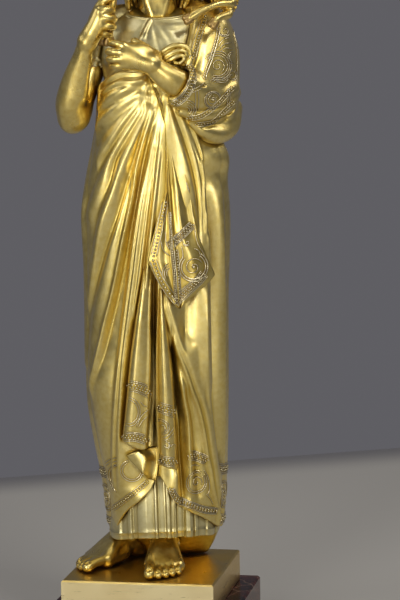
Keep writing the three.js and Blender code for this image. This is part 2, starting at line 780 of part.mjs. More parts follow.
// The hair falls to the shoulders in wavy locks around an open face.
function hair() {
  const sides = 26;
  const levels = [292, 300, 310, 320, 331, 341, 350, 357, 361.5];
  const reach = curve([[292, 15.5], [306, 18.6], [322, 19.2], [338, 19], [350, 15.4], [358, 8.5], [362, 3]]);
  const deep = curve([[292, 12], [306, 16], [322, 20], [338, 21.5], [350, 18], [358, 10], [362, 3]]);
  const rings = levels.map((height) => {
    const ring = [];
    for (let i = 0; i < sides; i += 1) {
      const turn = 2 * Math.PI * i / sides;
      const lock = 0.9 * Math.sin(10 * turn + 1.4 * Math.sin(height / 6)) * smooth(362, 346, height);
      const front = Math.cos(turn) > 0;
      const open = smooth(340, 358, height);
      const ahead = deep(height) * Math.cos(turn) * (front ? 0.25 + 0.75 * open : 1);
      ring.push(new THREE.Vector3(
        HEAD_X + (reach(height) + lock) * Math.sin(turn),
        HEAD_Y + 2.5 - ahead - lock * Math.cos(turn) * (front ? 0.4 : 1),
        height,
      ));
    }
    return ring;
  });
  const parts = [loft(rings)];
  for (const side of [-1, 1]) {
    for (let i = 0; i < 3; i += 1) {
      const out = 12.5 + 2.2 * i;
      const ahead = HEAD_Y - 9 + 5 * i;
      parts.push(limb([
        [HEAD_X + side * 4, HEAD_Y - 11 + 4 * i, 356, 2.2],
        [HEAD_X + side * (out - 1), ahead - 1, 344, 2.8],
        [HEAD_X + side * (out + 2.4), ahead + 1, 330, 3],
        [HEAD_X + side * (out + 0.6), ahead + 1, 316, 3],
        [HEAD_X + side * (out + 1.6), ahead - 2, 304, 2.8],
        [HEAD_X + side * (out - 1), ahead - 4, 294, 2],
      ], 5, 7, [0, 1, 0]));
    }
  }
  return parts;
}

// Lamb
function lamb() {
  const parts = [
    limb([[-24, 9, 301, 8], [-17, 14, 306, 12], [-2, 19, 309, 12.5], [16, 19, 309, 12.5], [31, 14, 307, 12],
      [40, 4, 305, 9.5]], 12, 10),
    limb([[34, 8, 308, 9], [41, 2, 316, 7.6], [44, -4, 324, 6.4]], 10, 3),
    limb([[43, 1, 326, 5.6], [44, -7, 326, 6], [45, -14, 322.5, 4.6], [45.5, -19, 319.5, 3]], 8, 5),
    limb([[39, -1, 329, 2], [34.5, 0, 328, 2.4, 0.5], [31.5, 1, 325, 1.4, 0.5]], 6, 3),
    limb([[48, -1, 329, 2], [52, 0, 327, 2.4, 0.5], [54, 1, 323, 1.4, 0.5]], 6, 3),
    limb([[-27, 8, 300, 3.2], [-30, 5, 294, 3.4], [-29.5, 3, 287, 2.2]], 7, 4),
  ];
  parts.push(...lambLegs());
  return parts;
}

function lambLegs() {
  return [
    limb([[38, 4, 303, 6.4], [43, -6, 299, 5], [43, -12, 293.5, 3.6], [36, -16, 293.5, 2.2],
      [27, -18, 291.5, 2.1], [20.5, -19.5, 287, 2.6]], 6, 10),
    limb([[42, 2, 300, 5], [45, -8, 294, 4], [43, -15, 288, 2.6], [37.5, -20, 285, 2.2], [33.5, -22, 282, 2.6]],
      6, 7),
    limb([[-20, 8, 304, 6.5], [-20, -4, 304, 4.6], [-15, -13, 300, 3.2], [-12.5, -18.5, 291, 2.4],
      [-12.5, -20, 278, 2.2], [-13.5, -20, 270, 2.6]], 6, 8),
    limb([[-25, 6, 303, 6], [-25, -4, 303, 4.4], [-21, -12, 300, 3.2], [-17.5, -17, 291, 2.4],
      [-17, -18, 278, 2.2], [-18, -18.5, 271, 2.6]], 6, 8),
  ];
}

function shepherd() {
  const upright = join([
    mantle(),
    ...columnFolds(),
    flap(),
    tunicSkirt(),
    standingFoot(),
    chest(),
    ...sleeve(),
    ...rightArm(),
    ...leftForearm(),
    ...rightHand(),
    ...leftHand(),
    feet(),
    neck(),
    head(),
    ...hair(),
    ...lamb(),
  ]);
  const whole = fillHollows(upright);
  return new ThinMesh(pointsOf(whole), facesOf(whole)).thinTo(FIGURE_TRIANGLES);
}

// Plinth and base
function slab(side, height, bevel) {
  const ring = (half, z) => [
    new THREE.Vector3(-half, -half, z),
    new THREE.Vector3(half, -half, z),
    new THREE.Vector3(half, half, z),
    new THREE.Vector3(-half, half, z),
  ];
  const block = loft([
    ring(side / 2, 0),
    ring(side / 2, height - bevel),
    ring(side / 2 - bevel, height),
  ]);
  return toGeometry(pointsOf(block), facesOf(block));
}

function piece(name, geometry, color, roughness, metalness) {
  const mesh = new THREE.Mesh(geometry, new THREE.MeshStandardMaterial({ color, roughness, metalness }));
  mesh.name = name;
  return mesh;
}

const statue = new THREE.Group();

const marbleBase = piece("marble_base", slab(BASE_SIDE, BASE_HEIGHT - TOUCH_GAP, BASE_BEVEL), 0x4a1a1a, 0.25, 0);
statue.add(marbleBase);

const giltPlinth = piece("gilt_plinth", slab(PLINTH_SIDE, PLINTH_HEIGHT, PLINTH_BEVEL), 0xd8bf72, 0.35, 1);
giltPlinth.position.z = BASE_HEIGHT;
statue.add(giltPlinth);

const figure = piece("shepherd_with_lamb", shepherd(), 0xd9ab3c, 0.3, 1);
figure.position.z = FIGURE_FLOOR;
figure.rotation.z = FIGURE_TURN;
statue.add(figure);

export default statue;
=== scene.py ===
"""A gilt bronze shepherd with a lamb, on a gilt plinth and a marble base."""

import math

import bpy
import numpy as np
from mathutils import Matrix, Vector
from mathutils.bvhtree import BVHTree


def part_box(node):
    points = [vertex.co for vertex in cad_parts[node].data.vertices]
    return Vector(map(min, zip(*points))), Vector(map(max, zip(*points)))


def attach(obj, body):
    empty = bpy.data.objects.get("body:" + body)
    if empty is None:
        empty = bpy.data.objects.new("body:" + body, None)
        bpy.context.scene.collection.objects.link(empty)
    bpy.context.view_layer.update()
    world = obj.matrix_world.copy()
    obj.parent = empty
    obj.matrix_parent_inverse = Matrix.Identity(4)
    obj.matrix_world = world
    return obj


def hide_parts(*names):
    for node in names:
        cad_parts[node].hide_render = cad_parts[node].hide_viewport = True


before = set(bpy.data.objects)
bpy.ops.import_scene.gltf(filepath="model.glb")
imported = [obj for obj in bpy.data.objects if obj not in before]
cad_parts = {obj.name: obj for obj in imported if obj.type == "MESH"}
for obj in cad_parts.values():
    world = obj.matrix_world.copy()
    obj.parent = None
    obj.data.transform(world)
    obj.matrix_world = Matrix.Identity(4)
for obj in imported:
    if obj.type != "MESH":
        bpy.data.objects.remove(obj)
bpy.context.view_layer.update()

# Places and sizes are in millimetres in the figure's own frame: x to the viewer's right, y away from the
# viewer, z up from the plinth. The figure stands turned a little on its plinth.
MM = 0.001
FIGURE_TURN = math.radians(12)
SEAT_GAP = 0.3
_, PLINTH_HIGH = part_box("gilt_plinth")
FIGURE_FLOOR = PLINTH_HIGH.z / MM + SEAT_GAP


# Curves

def curve(keys):
    """A smooth curve through [place, value] keys, held level beyond both ends."""
    places, values = (np.array(column, float) for column in zip(*keys))
    slopes = np.empty(len(places))
    slopes[0] = (values[1] - values[0]) / (places[1] - places[0])
    slopes[-1] = (values[-1] - values[-2]) / (places[-1] - places[-2])
    slopes[1:-1] = (values[2:] - values[:-2]) / (places[2:] - places[:-2])

    def at(place):
        place = np.clip(place, places[0], places[-1])
        i = np.clip(np.searchsorted(places, place, side="right") - 1, 0, len(places) - 2)
        span = places[i + 1] - places[i]
        t = (place - places[i]) / span
        rise = t * t * (3 - 2 * t)
        bend = slopes[i] * t * (1 - t) ** 2 - slopes[i + 1] * t * t * (1 - t)
        return values[i] + (values[i + 1] - values[i]) * rise + bend * span

    return at


def broken(keys):
    """A curve with corners through [place, value] keys."""
    places, values = zip(*keys)
    return lambda place: np.interp(place, places, values)


def smooth(low, high, value):
    """0 below low, 1 above high, and a smooth rise between."""
    t = np.clip((value - low) / (high - low), 0, 1)
    return t * t * (3 - 2 * t)


def mix(a, b, share):
    return a + (b - a) * share


def wrap(turn):
    """The same turn between minus and plus half a round."""
    return turn - 2 * np.pi * np.round(turn / (2 * np.pi))


def bump(value, middle, reach):
    """1 at the middle, falling off smoothly on both sides."""
    return np.exp(-((value - middle) / reach) ** 2)


def signed_power(value, exponent):
    return np.sign(value) * np.abs(value) ** exponent


def full_turn(count):
    """Turns all round the body, from back to back."""
    return np.linspace(-np.pi, np.pi, count, endpoint=False)


def smooth_path(points, steps=8):
    """Points along a rounded line through the given ones."""
    points = np.asarray(points, float)
    if len(points) < 3:
        share = np.linspace(0, 1, steps * (len(points) - 1) + 1)[:, None]
        return points[0] + (points[-1] - points[0]) * share
    padded = np.vstack([2 * points[0] - points[1], points, 2 * points[-1] - points[-2]])
    line = []
    for a, b, c, d in zip(padded, padded[1:], padded[2:], padded[3:]):
        for t in np.arange(steps) / steps:
            line.append(0.5 * (2 * b + (c - a) * t + (2 * a - 5 * b + 4 * c - d) * t ** 2
                               + (3 * b - a - 3 * c + d) * t ** 3))
    line.append(points[-1])
    return np.array(line)


def lengths(rows):
    """The length of each row, as a column to divide by."""
    return np.linalg.norm(rows, axis=1)[:, None] + 1e-9


def square_to(direction):
    """Two unit directions square to one unit direction and to each other."""
    across = np.cross(direction, (0.3, 0.2, 1.0))
    across /= np.linalg.norm(across)
    return across, np.cross(direction, across)


def evenly(path, gap):
    """Points along a line at an even spacing."""
    path = np.asarray(path, float)
    along = np.concatenate([[0], np.cumsum(np.linalg.norm(np.diff(path, axis=0), axis=1))])
    count = max(2, int(round(along[-1] / gap)) + 1)
    places = np.linspace(0, along[-1], count)
    return np.stack([np.interp(places, along, path[:, i]) for i in range(path.shape[1])], -1)


# Draped body, as in the part's source

BODY_LEFT = curve([[0, -20], [24, -22], [46, -24.5], [68, -28.5], [90, -31.5], [142, -32], [184, -31.5],
                   [205, -29.5], [225, -27], [256, -24.5], [285, -22]])
BODY_RIGHT = curve([[0, 36], [24, 37], [46, 38.5], [90, 40], [142, 40.5], [184, 41.5],
                    [205, 40], [225, 37], [256, 36], [285, 36]])
BODY_FRONT = curve([[0, -19], [46, -22], [90, -24], [142, -25.5], [184, -26], [225, -24], [256, -22.5],
                    [285, -15]])
BODY_BACK = curve([[0, 31], [46, 29], [90, 26.5], [142, 25], [184, 26], [225, 19], [256, 18], [285, 15]])
SECTION_POWER = 0.92
MANTLE_HEM = curve([[-180, 20], [-120, 18.6], [-90, 18.4], [-69, 20.2], [-51, 28.2], [-39, 33.2],
                    [-27, 37.2], [-17, 41.8], [-11, 46], [-7, 50], [-4, 51.6], [-1.6, 50], [1.6, 45.4],
                    [5, 40.4], [12.6, 35.6], [25, 31.6], [39, 28.2], [52, 25], [74, 20.2], [100, 19],
                    [180, 20]])

MANTLE_TOP = curve([[-180, 268], [-150, 259], [-120, 253], [-90, 251], [-60, 256], [-35, 261],
                    [-16, 261.4], [-4, 263], [8, 268], [30, 269], [50, 270], [70, 274], [95, 280],
                    [130, 284], [155, 277], [180, 268]])


def body_section(height):
    """The body's middle, half width and half depth at a height."""
    left, right = BODY_LEFT(height), BODY_RIGHT(height)
    front, back = BODY_FRONT(height), BODY_BACK(height)
    return (left + right) / 2, (front + back) / 2, (right - left) / 2, (back - front) / 2


def body_point(turn, height, lift):
    """Points on the draped body at a turn from the front and a height, lifted off its surface."""
    turn, height, lift = np.broadcast_arrays(turn, height, lift)
    x, y, wide, deep = body_section(height)
    across, ahead = np.sin(turn), np.cos(turn)
    normal_x, normal_y = across / wide, -ahead / deep
    size = np.hypot(normal_x, normal_y)
    return np.stack([
        x + wide * signed_power(across, SECTION_POWER) + normal_x / size * lift,
        y - deep * signed_power(ahead, SECTION_POWER) + normal_y / size * lift,
        height + 0.0 * lift,
    ], -1)


def turn_at(x, height):
    """The turn from the front at which the body reaches x."""
    middle, _, wide, _ = body_section(height)
    return np.arcsin(signed_power(np.clip((x - middle) / wide, -0.995, 0.995), 1 / SECTION_POWER))


def girth_radius(height):
    _, _, wide, deep = body_section(height)
    return (wide + deep) / 2


# Folds of the mantle's front
# Each fold line gives its rise in millimetres, how sharp it is, and [height, x] points from low to high.
# The cloth between two neighbouring lines runs from one rise to the other, and turns sharply at a sharp line.

def beside(points, step):
    return [[height, x + step] for height, x in points]


CREST_C = [[98, -29.8], [113, -25.7], [134, -21.1], [155, -16], [176, -11.5], [198, -6.5], [217, -3.2],
           [234.7, 2.2], [245, 6.4]]
CREST_D = [[50, -19.5], [71, -18.8], [93, -16.8], [114, -14.8], [135, -12.3], [155, -9.4], [176, -6.4],
           [198, -2.5], [217, 2.2], [240, 7.2], [248, 7.8]]
CREST_E = [[50, -16.5], [71, -15.6], [93, -14.2], [114, -13], [135, -10.3], [155, -7.3], [176, -4.4],
           [198, -1], [217, 3.6], [240, 8.2], [248, 8.6]]
COLUMN_ONE = [[128, -4], [135, -3.1], [155, -0.7], [176, 1.4], [198, 4.1],
              [223, 7.1], [240, 8.8]]
COLUMN_TWO = [[124, 8], [135, 7.6], [146, 7.2]]
LAP_EDGE = [[26, 35], [43, 31.7], [54, 30.3], [62, 28.8], [73, 27.4], [81, 25.9], [89, 23.9], [97, 20.9],
            [105, 18.5], [116, 14.5], [127, 11.1], [142, 6.6]]
RIGHT_CREST = [[154, 30.1], [164, 30.7], [175, 30.4], [195, 29.1], [210, 28.8], [221, 27], [229, 24.6],
               [240, 20.6]]
RIGHT_ROLL = [[178, 28.8], [190, 29.4], [203, 29], [211, 27.6], [218, 26], [228, 22.6], [236, 19.4],
              [246, 15.6]]
DEEP_RECESS = [[60, 37.2], [94, 36.4], [111, 36.2], [132, 36.4], [153, 36.4], [174, 35.4], [197, 33.6],
               [209, 32], [226, 30.4]]

FRONT_FOLDS = [
    ([[241, 1.4], [250, 2.8], [257, 2]], 0.3,
     [[240.7, -23.7], [245.4, -17.4], [250, -11.2], [253, -6.1], [257, 0.6]]),
    (-1.0, 0.9, [[235.8, -27], [240.7, -22.6], [244.9, -16.4], [249, -7.1], [255, 1.6]]),
    (1.4, 0.0, [[233.5, -25.4], [239.3, -20.1], [244.9, -12.3], [249, -4.6], [252, 2]]),
    (-0.6, 0.4, [[222.2, -26.1], [229.6, -20.8], [235.8, -15], [240.9, -8.8], [245.4, -3.7], [250, 2]]),
    (-1.5, 1.2,
     [[187, -32.2], [202, -28.1], [216, -21.6], [229, -13.1], [241, -4.2], [246, 0.4], [249, 2.4]]),
    (1.2, 0.0, [[216, -25.5], [222, -20.6], [229, -15.6], [236, -10.8], [241.4, -6.4], [249, 0.8]]),
    (1.2, 0.0, [[188, -28.9], [204, -22.8], [217, -17.9], [229, -10.6], [246, 0.8]]),
    (-1.0, 1.0, [[172, -28.6], [188, -24.7], [204, -18.7], [217, -15.3], [229, -8], [240, -0.8]]),
    ([[128, 0], [146, 1.2], [165, 2.4], [186, 3.4], [223, 3], [242, 1.4]], 0.2,
     [[128, -32.4], [145, -30.4], [158, -27.4], [175, -23.8], [186, -21], [198, -16.6], [210, -12.8],
      [223, -7], [242, 1.6]]),
    ([[126, -0.2], [165, -1], [220, -1.2], [240, -0.4]], 0.4,
     [[126, -31.6], [139, -29.9], [152, -27], [165, -23.1], [186, -15.4], [204, -10], [223, -3.6],
      [240, 1.8]]),
    ([[118, 0.8], [150, 1.5], [190, 1.2], [206, 0.2]], 0.0,
     [[118, -30], [134, -26.6], [144, -24.6], [165, -19.6], [186, -13.2], [204, -8.4]]),
    ([[113, 0.8], [150, 0.7], [190, 0.8], [206, 0.4]], 0.6,
     [[113, -27.8], [134, -23.2], [145, -19.9], [166, -15.3], [186, -10.8], [204, -7]]),
    ([[100, 1.8], [130, 3.2], [200, 3.4], [240, 2]], 0.6, CREST_C),
    ([[98, 0.2], [115, -1.6], [150, -2.4], [215, -2.2], [238, -0.6]], 1.0, beside(CREST_C, 1.7)),
    ([[60, 0], [100, -0.6], [150, -1.8], [215, -1.6], [240, 0]], 0.6, beside(CREST_D, -2)),
    ([[50, 1.9], [222, 1.9], [246, 0.6]], 0.7, CREST_D),
    ([[50, 1.0], [222, 1.0], [246, 0.2]], 0.9, beside(CREST_D, 1.25)),
    ([[50, 2.3], [222, 2.3], [246, 0.8]], 0.6, CREST_E),
    ([[135, 1.3], [198, 1.3], [220, 0.7]], 0.8,
     [[135, -8.2], [155, -5.4], [176, -2.6], [198, 0.8], [220, 4.8]]),
    ([[140, 2.5], [198, 2.4], [220, 1.2]], 0.5,
     [[140, -6.4], [155, -3.8], [176, -0.8], [198, 2.1], [220, 6]]),
    ([[70, -1.2], [130, -1.4], [200, 0.4], [226, 1]], 1.0,
     [[76, -14], [84, -13.2], [93, -12], [114, -9.2], [135, -6.2], [155, -2.6], [176, 0.2], [204, 3.9],
      [226, 7]]),
    ([[130, 3.8], [150, 4.6], [200, 3.6], [226, 2.6], [240, 1]], 0.2, COLUMN_ONE),
    ([[130, 2.6], [150, 3], [176, 2.4], [214, 2]], 0.8,
     [[130, 0.8], [145, 0.8], [165, 2.6], [190, 5], [220, 8.6]]),
    ([[46, -2.6], [56, -4.6], [66, -6.4], [80, -9], [110, -9.6], [135, -7.6], [152, -4], [176, -0.5]],
     0.3, [[46, 0.6], [58, -0.4], [70, 0.6], [82, 1.2], [103, 2.2], [135, 2.7], [155, 3.4], [176, 4.6]]),
    (1.6, 1.0, [[132, 4.2], [158, 5.4], [176, 6.2]]),
    (0.9, 0.8, [[134, 5.5], [146, 5.9], [158, 6.4]]),
    ([[120, 3.2], [135, 3.6], [158, 1.6]], 0.1, COLUMN_TWO),
    ([[44, 0.4], [54, -2.4], [62, -3]], 0.4, [[42, 6.4], [52, 4.6], [62, 5]]),
    ([[34, 0.8], [44, 2.2], [52, 1.8], [60, -1], [80, -1]], 0.0,
     [[34, 13.6], [44, 12.4], [52, 13.2], [60, 12.4], [80, 9]]),
    ([[36, -1.6], [44, -3.4], [60, -5.2], [100, -4.4], [122, -1.6]], 1.0,
     [[36, 17], [44, 16.8], [61, 16.2], [82, 15.7], [103, 14], [122, 12]]),
    (1.8, 0.7, [[44, 20.6], [61, 20.3], [82, 19.6], [92, 17.7], [103, 15.6]]),
    (-1.4, 0.3, [[44, 25], [61, 24], [80, 22.4], [92, 19.8]]),
    (0.4, 0.3, [[34, 29], [50, 27.6], [62, 26.4]]),
    (0.3, 1.0, beside(LAP_EDGE, -0.7)),
    (3.2, 0.8, beside(LAP_EDGE, 0.5)),
    ([[26, -0.4], [90, 0], [115, 1.6], [142, 2.3]], 1.0, beside(LAP_EDGE, 1.7)),
    ([[26, 1.6], [90, 2], [115, 2.8], [142, 3]], 0.6, beside(LAP_EDGE, 3.4)),
    (1.2, 0.0, [[62, 34.6], [81, 31.6], [93, 28.6]]),
    (-0.6, 0.2, [[126, 19], [134, 19.3], [160, 21]]),
    ([[80, 1.8], [102, 2], [125, 2.8], [154, 3.2]], 0.2,
     [[80, 30.8], [92, 27.4], [102, 25.4], [113, 24.4], [134, 24.6], [154, 26]]),
    ([[80, 1.2], [96, 2.6], [112, 5], [133, 5.8], [150, 4.6]], 0.8,
     [[80, 32.4], [92, 30], [102, 28.8], [112, 28.5], [133, 28.6], [150, 29.4]]),
    (0.4, 0.2, [[98, 33], [112, 32.8], [143, 32.8], [165, 33]]),
    ([[60, -2.4], [94, -5.6], [120, -7.4], [180, -6.8], [221, -4]], 0.4, DEEP_RECESS),
    ([[60, 0.8], [100, 1.4], [170, 1.4], [200, 1]], 0.1,
     [[60, 39.4], [100, 40], [150, 40.2], [200, 39.2]]),
    ([[154, 3.2], [200, 3.8], [240, 2.6]], 0.0, RIGHT_CREST),
    ([[178, 2.6], [203, 1.2], [246, 1]], 0.8, beside(RIGHT_ROLL, 1.4)),
    ([[178, 2.4], [203, 2.8], [246, 2.8]], 0.8, RIGHT_ROLL),
    ([[178, 2.2], [203, 1.9], [246, 1.9]], 0.8, beside(RIGHT_ROLL, -0.9)),
    ([[178, 2], [203, 2.7], [246, 2.7]], 0.6, beside(RIGHT_ROLL, -1.8)),
    ([[176, 1.8], [200, 0.8], [244, 0.8]], 0.6,
     [[176, 27], [196, 26.2], [211, 23.9], [219, 21.9], [229, 18.9], [244, 13.8]]),
    ([[176, 1.8], [200, 3.2], [244, 3]], 0.0,
     [[176, 25.6], [196, 24.2], [211, 21.1], [219, 19.2], [229, 16.6], [244, 12.2]]),
    (-0.4, 0.5, [[162, 34.6], [186, 31.8], [200, 30.8]]),
]
FOLD_FADE = 11
UP_SOFTNESS = 3
FOLD_SOFTNESS = 54
GATHER_SOFTNESS = 260
GATHER_HEIGHTS = (212, 244)
FRONT_REACH = math.radians(88)
MAP_TURNS = np.linspace(-FRONT_REACH, FRONT_REACH, 1300)
MAP_TOP = 290


def soften(values, times):
    """Averages each value with the ones before and after it, all but the two ends."""
    for _ in range(times):
        values[1:-1] = (values[:-2] + 2 * values[1:-1] + values[2:]) / 4


def fold_profile(lines):
    """Rise over MAP_TURNS between the (turn, rise, sharpness) lines of one height."""
    turns, rises, sharp = (np.array(column) for column in zip(*lines))
    gaps = np.maximum(np.diff(turns), 1e-4)
    secants = np.diff(rises) / gaps
    before, after = np.concatenate([[0], secants]), np.concatenate([secants, [0]])
    level = np.where(before * after > 0, 2 * before * after / (before + after + 1e-12), 0)
    leave = mix(level, after, np.minimum(sharp, 1.4))
    arrive = mix(level, before, np.minimum(sharp, 1.4))
    i = np.clip(np.searchsorted(turns, MAP_TURNS, side="right") - 1, 0, len(turns) - 2)
    t = np.clip((MAP_TURNS - turns[i]) / gaps[i], 0, 1)
    bend = leave[i] * t * (1 - t) ** 2 - arrive[i + 1] * t * t * (1 - t)
    return rises[i] + (rises[i + 1] - rises[i]) * t * t * (3 - 2 * t) + bend * gaps[i]


def settle(lines):
    """Lets a fold line that is fading out sink to the cloth between its stronger neighbours."""
    strong = [(turn, rise) for turn, rise, _, strength in lines if strength > 0.99]
    turns, rises = zip(*strong)
    return [(turn, mix(np.interp(turn, turns, rises), rise, strength), sharp * strength)
            for turn, rise, sharp, strength in lines]


def fold_map():
    """The rise of the front folds, one row for each millimetre of height, over MAP_TURNS."""
    made = []
    for rise, sharp, points in FRONT_FOLDS:
        rise_at = broken(rise) if isinstance(rise, list) else (lambda height, rise=rise: rise)
        made.append((curve(points), rise_at, sharp, points[0][0], points[-1][0]))
    rows = []
    for height in range(MAP_TOP + 1):
        lines = [(-FRONT_REACH, 0, 0, 1), (FRONT_REACH, 0, 0, 1)]
        for place, rise_at, sharp, low, high in made:
            strength = smooth(low - FOLD_FADE, low + 3, height)
            strength = strength * (1 - smooth(high - 3, high + FOLD_FADE, height))
            if strength > 0.01:
                lines.append((float(turn_at(place(height), height)), float(rise_at(height)), sharp, strength))
        rows.append(fold_profile(settle(sorted(lines))))
    rows = np.array(rows)
    soften(rows, UP_SOFTNESS)
    soften(rows.T, FOLD_SOFTNESS)
    soft = rows.copy()
    soften(soft.T, GATHER_SOFTNESS)
    return mix(rows, soft, smooth(*GATHER_HEIGHTS, np.arange(MAP_TOP + 1))[:, None])


FOLD_MAP = fold_map()


def front_lift(turn, height):
    """The rise of the front folds at a turn and height, read from the map."""
    across = np.interp(turn, MAP_TURNS, np.arange(len(MAP_TURNS)))
    up = np.clip(height, 0, MAP_TOP - 0.001)
    i, j = np.minimum(across.astype(int), len(MAP_TURNS) - 2), up.astype(int)
    s, t = across - i, up - j
    low = mix(FOLD_MAP[j, i], FOLD_MAP[j, i + 1], s)
    high = mix(FOLD_MAP[j + 1, i], FOLD_MAP[j + 1, i + 1], s)
    return mix(low, high, t) * (np.abs(turn) < FRONT_REACH)


# Folds of the mantle's sides and back: width, rise, and [height, degrees] points from low to high.
SIDE_FOLDS = [
    (8, 3.0, [[23, 96], [120, 98], [200, 92], [262, 96]]),
    (8, 3.0, [[26, 117], [120, 116], [200, 111], [262, 106]]),
    (8, 3.6, [[24, 140], [130, 136], [210, 130], [272, 120]]),
    (7, 3.8, [[23, 160], [120, 155], [200, 146], [274, 127]]),
    (7, 3.4, [[23, 180], [120, 172], [200, 158], [274, 134]]),
    (7, 3.8, [[23, 200], [110, 194], [190, 176], [240, 154], [272, 140]]),
    (7, 3.4, [[23, 220], [100, 216], [180, 198], [232, 170], [262, 148]]),
    (7, 3.4, [[23, 240], [90, 238], [170, 222], [222, 196], [252, 166]]),
    (8, 3.0, [[24, 260], [90, 258], [150, 246], [205, 224], [240, 196]]),
    (6, 2.2, [[110, 272], [170, 260], [215, 242], [244, 212]]),
    (5, 1.8, [[150, 278], [205, 266], [236, 246], [252, 224]]),
]
# The limbs swell the cloth: turn in degrees, height, reach around, reach up, rise.
SWELLS = [(-48, 100, 14, 24, 2.4), (22, 104, 12, 26, 1.6), (78, 216, 13, 8.5, 3.8), (-84, 190, 14, 22, 1.4),
          (150, 185, 20, 24, 2.5), (-150, 185, 20, 24, 2.5), (-40, 184, 10, 18, 1.4)]


def side_lift(turn, height):
    """The rise of the folds round the sides and back, the higher one where two meet."""
    raised = 0
    for width, rise, points in SIDE_FOLDS:
        place = curve(points)
        apart = wrap(turn - np.radians(place(height))) * girth_radius(height)
        low, high = points[0][0], points[-1][0]
        ends = smooth(low - 12, low, height) * (1 - smooth(high - 8, high + 6, height))
        reach = np.abs(apart) / width
        raised = raised + (ends * rise * np.clip(1 - reach ** 1.6, 0, 1) ** 1.2) ** 4
    return raised ** 0.25


def swell_lift(turn, height):
    """The swell of the knees, hips and shoulder blades under the cloth."""
    total = 0
    for degrees, middle, around, up, rise in SWELLS:
        apart = wrap(turn - np.radians(degrees)) * girth_radius(middle) / around
        total = total + rise * np.exp(-(apart ** 2) - ((height - middle) / up) ** 2)
    return total


MANTLE_INSET = 0.8
# Small folds follow the mantle's upper edge: depth under the edge, half width, rise.
EDGE_FOLDS = [(0.9, 0.9, 0.7), (3.4, 0.8, -0.6), (5.2, 1.0, 0.6), (7.6, 1.0, -0.5)]


def edge_lift(turn, height):
    """The small folds along the mantle's upper edge, in front on the left."""
    below = MANTLE_TOP(np.degrees(turn)) - height
    rise = sum(size * bump(below, depth, half) for depth, half, size in EDGE_FOLDS)
    return rise * smooth(-74, -50, np.degrees(turn)) * (1 - smooth(-16, -2, np.degrees(turn)))


def mantle_lift(turn, height):
    lifts = (front_lift, side_lift, swell_lift, edge_lift)
    return sum(lift(turn, height) for lift in lifts) - MANTLE_INSET


# Meshes

def to_world(points):
    """Figure millimetres to metres in the shared frame."""
    points = np.asarray(points, float)
    c, s = math.cos(FIGURE_TURN), math.sin(FIGURE_TURN)
    x, y, z = points[..., 0], points[..., 1], points[..., 2]
    return np.stack([c * x - s * y, s * x + c * y, z + FIGURE_FLOOR], -1) * MM


def thinned(piece, keep):
    """Leaves this share of a piece's faces, fewest where it is smoothest."""
    thinner = piece.modifiers.new("thinned", "DECIMATE")
    thinner.ratio = keep
    depsgraph = bpy.context.evaluated_depsgraph_get()
    mesh = bpy.data.meshes.new_from_object(piece.evaluated_get(depsgraph))
    piece.modifiers.clear()
    piece.data = mesh


def joined(parts):
    """The points and faces of several (points, faces) parts as one."""
    points, faces, start = [], [], 0
    for part_points, part_faces in parts:
        points.append(np.asarray(part_points, float))
        faces.extend([int(corner) + start for corner in corners] for corners in part_faces)
        start += len(part_points)
    return np.concatenate(points), faces


def make_object(name, parts, material, keep=1.0):
    """One piece from (points, faces) parts, thinned to a share of its faces."""
    points, faces = joined(parts)
    mesh = bpy.data.meshes.new(name)
    mesh.from_pydata(to_world(points).tolist(), [], faces)
    mesh.shade_smooth()
    mesh.materials.append(material)
    piece = bpy.data.objects.new(name, mesh)
    bpy.context.collection.objects.link(piece)
    if keep < 1:
        thinned(piece, keep)
    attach(piece, "root")
    return piece


def ring_faces(rows, columns):
    """Four-sided faces between closed rings, each joined to the next."""
    row, column = np.meshgrid(np.arange(rows - 1), np.arange(columns), indexing="ij")
    following = (column + 1) % columns
    low, high = row * columns, (row + 1) * columns
    return np.stack([low + column, low + following, high + following, high + column], -1).reshape(-1, 4)


def closed_loft(rings):
    """Points and faces of rings joined side by side, with a fan of faces over each end."""
    rings = np.asarray(rings)
    rows, columns = rings.shape[:2]
    points = np.concatenate([rings.reshape(-1, 3), rings[0].mean(0)[None], rings[-1].mean(0)[None]])
    faces = ring_faces(rows, columns).tolist()
    start, end, top = rows * columns, rows * columns + 1, (rows - 1) * columns
    for i in range(columns):
        following = (i + 1) % columns
        faces.append([start, following, i])
        faces.append([end, top + i, top + following])
    return points, faces


# Mantle

MANTLE_COLUMNS = 350
MANTLE_ROWS = 214
MANTLE_THICKNESS = 1.6
# Lift and height of the rings that turn the cloth in under its hem, and over its upper edge.
MANTLE_LINING = [(-8, 14), (-MANTLE_THICKNESS, 2), (-MANTLE_THICKNESS, 0.4), (-MANTLE_THICKNESS * 0.8, 0),
                 (-0.2, 0)]
MANTLE_EDGE = [(-0.5, 0.6), (-1.4, 0.4), (-3, -1)]


def mantle():
    """The mantle from its hem to its upper edge, finer in front."""
    even = full_turn(MANTLE_COLUMNS)
    turns = even - 0.5 * np.sin(even)
    hem, top = MANTLE_HEM(np.degrees(turns)), MANTLE_TOP(np.degrees(turns))

    def ring(share, lift, drop=0.0):
        height = mix(hem, top, share) + drop
        return body_point(turns, height, mantle_lift(turns, height) + lift)

    rings = [ring(0, lift, drop) for lift, drop in MANTLE_LINING]
    rings.extend(ring(share, 0, 0.3) for share in np.linspace(0, 1, MANTLE_ROWS))
    rings.extend(ring(1, lift, drop) for lift, drop in MANTLE_EDGE)
    return closed_loft(rings)


# Two pleats hang free in front of the legs, with their own hems.
PLEAT_ROWS = 110
PLEAT_COLUMNS = 40
# Inset and height of the rings that turn a pleat in under its foot.
PLEAT_LINING = [(2.2, 12), (1.5, 1.4), (1.2, 0.1), (0.5, -0.3), (0.1, -0.1)]


